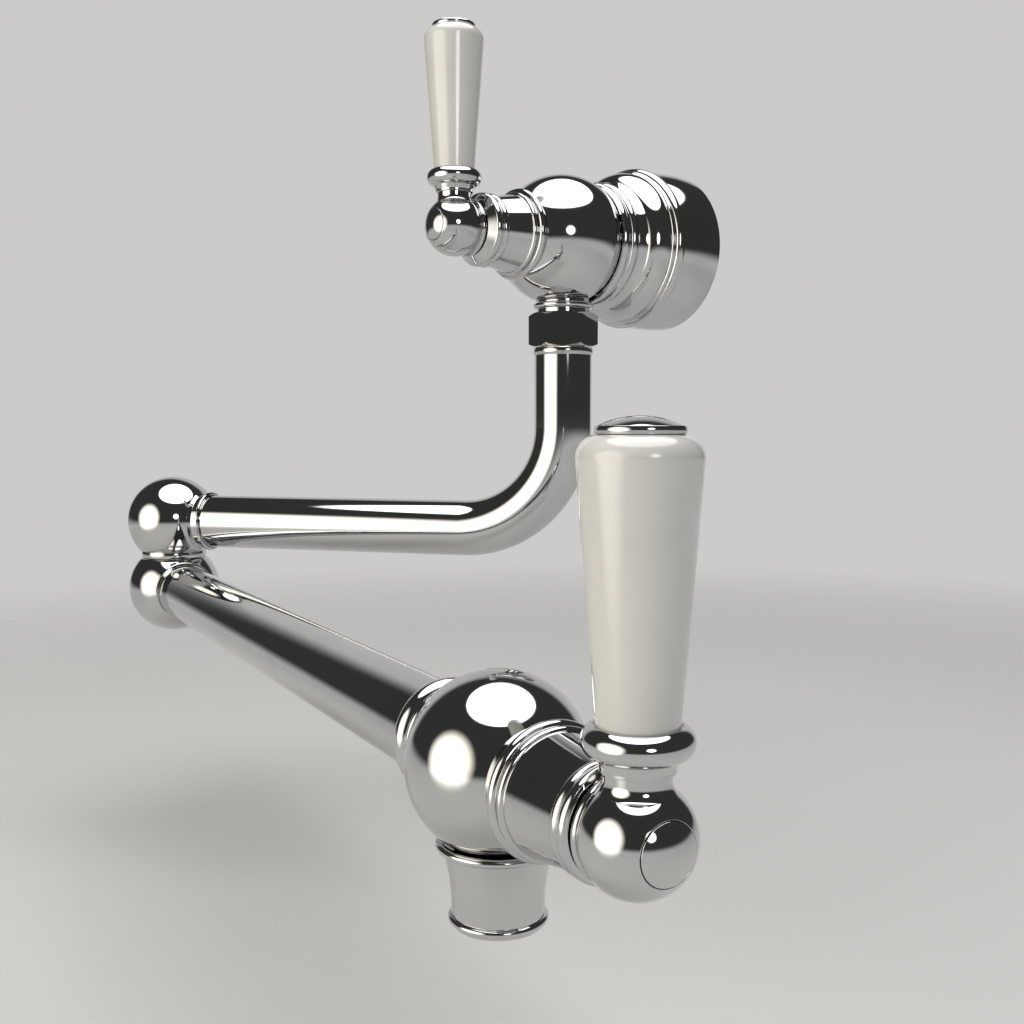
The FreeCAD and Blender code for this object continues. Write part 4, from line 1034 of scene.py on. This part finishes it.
def elbow_neck():
    """Neck out of a ball, with the socket for a tube."""
    start = half_chord(elbow_ball_radius, elbow_neck_start_radius)
    root = start - elbow_neck_root
    socket = tenon_radius + screwed_gap
    socket_floor = elbow_neck_end - tenon_length - tenon_room
    outline = Outline(elbow_neck_bore, root).to(elbow_neck_start_radius - elbow_neck_root_step, root)
    outline.to(elbow_neck_start_radius, start).to(elbow_neck_radius, start + elbow_neck_flare)
    outline.to(elbow_neck_radius, elbow_neck_end).to(socket, elbow_neck_end)
    return outline.to(socket, socket_floor).to(elbow_neck_bore, socket_floor)


def waist_ring():
    """Bead seated under the upper ball, which fills the waist between the two balls."""
    end = elbow_spacing - elbow_flat_at
    start = elbow_flat_at + free_gap
    bore = elbow_shaft_radius + free_gap
    edge = waist_ring_radius - waist_ring_relief
    outline = Outline(bore, start).to(edge, start)
    return outline.curve((waist_ring_radius, (start + end) / 2), (edge, end)).to(bore, end)


def bottom_dome():
    """Dome that closes the lower ball from below."""
    outline = Outline(0, elbow_cavity_floor).to(elbow_plug_radius, elbow_cavity_floor)
    outline.to(elbow_plug_radius, half_chord(elbow_ball_radius, elbow_plug_radius))
    return outline.ball(0, elbow_ball_radius, elbow_ball_radius)


piece("elbow_top_ball", [turned(top_ball(), on_upper_elbow), turned(elbow_neck(), at_upper_elbow)],
      "inner_arm", ["elbow_upper_body"])
piece("bent_arm_ring", [turned(arm_end_ring(), at_upper_elbow)], "inner_arm", ["inner_arm_end_ring"])
piece("elbow_bottom_ball", [turned(bottom_ball(), on_lower_elbow), turned(elbow_neck(), at_lower_elbow)],
      "outer_arm", ["elbow_lower_body"])
piece("straight_arm_ring", [turned(arm_end_ring(), at_lower_elbow)], "outer_arm", ["outer_arm_end_ring"])
piece("elbow_waist_ring", [turned(waist_ring(), on_lower_elbow)], "inner_arm", ["elbow_collar"])
piece("elbow_bottom_dome", [turned(bottom_dome(), at_lower_elbow @ hanging())], "outer_arm", ["elbow_plug"])


# ======== collar behind the front tap
def arm_collar():
    """Bold bead and a finer one behind the front ball."""
    start = -front_tap.rear_boss_end
    outline = Outline(tube_fit, start).to(tube_radius + ring_edge, start)
    outline.bead(front_collar_step_radius, -front_collar_step_width)
    outline.bead(front_collar_radius, -front_collar_width)
    return outline.to(tube_fit, start - front_collar_step_width - front_collar_width)


piece("straight_arm_collar", [turned(arm_collar(), at_front_tap)], "outer_arm", ["outer_arm_collar"])


# ======== spout
def spout_skirt():
    """Flared outlet with a round seat and a bead under the ball, and a ring round its mouth."""
    seat = front_tap.ball_radius + free_gap
    thread = spout_thread_radius + screwed_gap
    pocket = aerator_radius + screwed_gap
    outline = Outline(half_chord(seat, spout_top[1]), spout_top[1])
    outline.ball(0, seat, half_chord(seat, thread))
    outline.to(thread, spout_washer_end).to(spout_bore, spout_washer_end)
    outline.to(spout_bore, aerator_at).to(pocket, aerator_at).to(pocket, spout_end_at)
    outline.to(spout_end_radius, spout_end_at).to(spout_end_radius, spout_ring_end)
    outline.to(spout_waist[0], spout_ring_end).bead(spout_ring_radius, -spout_ring_width)
    outline.to(*spout_waist).curve(spout_middle, spout_shoulder)
    return outline.curve(spout_bead, spout_top)


piece("spout_skirt", [turned(spout_skirt(), at_front_tap @ hanging())], "outer_arm", ["spout"])


# ======== studio, in metres
tap_middle = (0.05, -0.15, -0.08)
wall_ball_middle = (0, -0.05, 0)
backdrop_way = (-0.78, 0.626, 0)         # from the camera's side to the pale backdrop
floor_level = -0.235
floor_radius = 3.0
floor_fades_from, floor_gone_at = 0.25, 0.95
pale = colour(0.60, 0.597, 0.585)
dim = colour(0.045, 0.045, 0.043)
pale_up_to, dim_above = -0.16, 0.02      # sines of heights seen from the tap; the world dims between them
backdrop_from, backdrop_full = 0.70, 0.85
lamp_middle, lamp_rim = (0.5, 0.5, 0), 0.5       # in shares of a lamp's width
white_light = colour(1.0, 1.0, 1.0)
warm_light = colour(1.0, 0.94, 0.82)


def studio_floor():
    """Pale round floor that fades into the pale surroundings."""
    bm = bmesh.new()
    bmesh.ops.create_circle(bm, cap_ends=True, radius=floor_radius, segments=AROUND)
    mesh = bpy.data.meshes.new("studio_floor")
    bm.to_mesh(mesh)
    bm.free()
    floor = add_object("studio_floor", mesh)
    floor.location = (0, 0, floor_level)
    f = new_finish("pale_floor")
    from_middle = f.node("ShaderNodeVectorMath", {"operation": "LENGTH"}, {0: f.place()}, output="Value")
    fade = f.span(from_middle, floor_fades_from, floor_gone_at, 1.0, 0.0)
    mesh.materials.append(f.shade(Base_Color=pale, Roughness=0.8, Alpha=fade))


def soft_lamp(name, place, aim, size, strength, tint, soft_from):
    """Round lamp, as bright as its middle out to a share of its radius and then fading to its rim."""
    light = bpy.data.lights.new(name, "AREA")
    light.shape = "ELLIPSE"
    light.size, light.size_y = size
    light.energy = strength
    f = Finish(light)
    spot = f.node("ShaderNodeNewGeometry", output="Parametric")
    from_middle = f.node("ShaderNodeVectorMath", {"operation": "DISTANCE"}, {0: spot, 1: lamp_middle},
                         output="Value")
    fade = f.span(from_middle, soft_from * lamp_rim, lamp_rim, 1.0, 0.0)
    glow = f.node("ShaderNodeEmission", None, {"Color": tint, "Strength": fade})
    f.node("ShaderNodeOutputLight", None, {"Surface": glow})
    lamp = add_object(name, light)
    lamp.location = place
    lamp.rotation_euler = (Vector(aim) - Vector(place)).to_track_quat("-Z", "Y").to_euler()
    lamp.visible_camera = False


def surroundings():
    """Pale below eye level and behind the tap, and dim elsewhere, for the dark parts of the chrome."""
    world = bpy.data.worlds.new("studio")
    bpy.context.scene.world = world
    f = Finish(world)
    way = f.node("ShaderNodeTexCoord", output="Generated")
    height = f.node("ShaderNodeSeparateXYZ", None, {"Vector": way}, output="Z")
    behind = f.node("ShaderNodeVectorMath", {"operation": "DOT_PRODUCT"}, {0: way, 1: backdrop_way},
                    output="Value")
    above_floor = f.span(height, pale_up_to, dim_above)
    off_backdrop = f.span(behind, backdrop_from, backdrop_full, 1.0, 0.0)
    tone = f.blend(above_floor * off_backdrop, pale, dim)
    glow = f.node("ShaderNodeBackground", None, {"Color": tone, "Strength": 1.0})
    f.node("ShaderNodeOutputWorld", None, {"Surface": glow})


studio_floor()
surroundings()
soft_lamp("overhead_round", place=(0.12, -0.12, 1.00), aim=tap_middle, size=(1.60, 1.50), strength=18,
          tint=white_light, soft_from=0.94)
soft_lamp("warm_round", place=(-0.075, -1.39, 0.07), aim=tap_middle, size=(1.75, 1.65), strength=17,
          tint=warm_light, soft_from=0.50)
soft_lamp("small_round", place=(1.0, -0.475, 0.17), aim=wall_ball_middle, size=(0.34, 0.34), strength=1.6,
          tint=white_light, soft_from=0.5)

# The camera's place, in millimetres, and its aim were fitted to the outlines in the photograph.
camera_place = Vector((331.447, -345.162, -70.593))
camera_yaw, camera_pitch = math.radians(-51.255), math.radians(-4.287)
ahead = Vector((math.sin(camera_yaw) * math.cos(camera_pitch),
                math.cos(camera_yaw) * math.cos(camera_pitch), math.sin(camera_pitch)))
across = Vector((math.cos(camera_yaw), -math.sin(camera_yaw), 0))
lens = bpy.data.cameras.new("photograph")
lens.lens = 40.0
lens.clip_start = 0.005
camera = add_object("photograph", lens)
camera.matrix_world = (Matrix.Translation(camera_place * MM)
                       @ Matrix((across, across.cross(ahead), -ahead)).transposed().to_4x4())
bpy.context.scene.camera = camera
bpy.context.scene.view_settings.view_transform = "Standard"
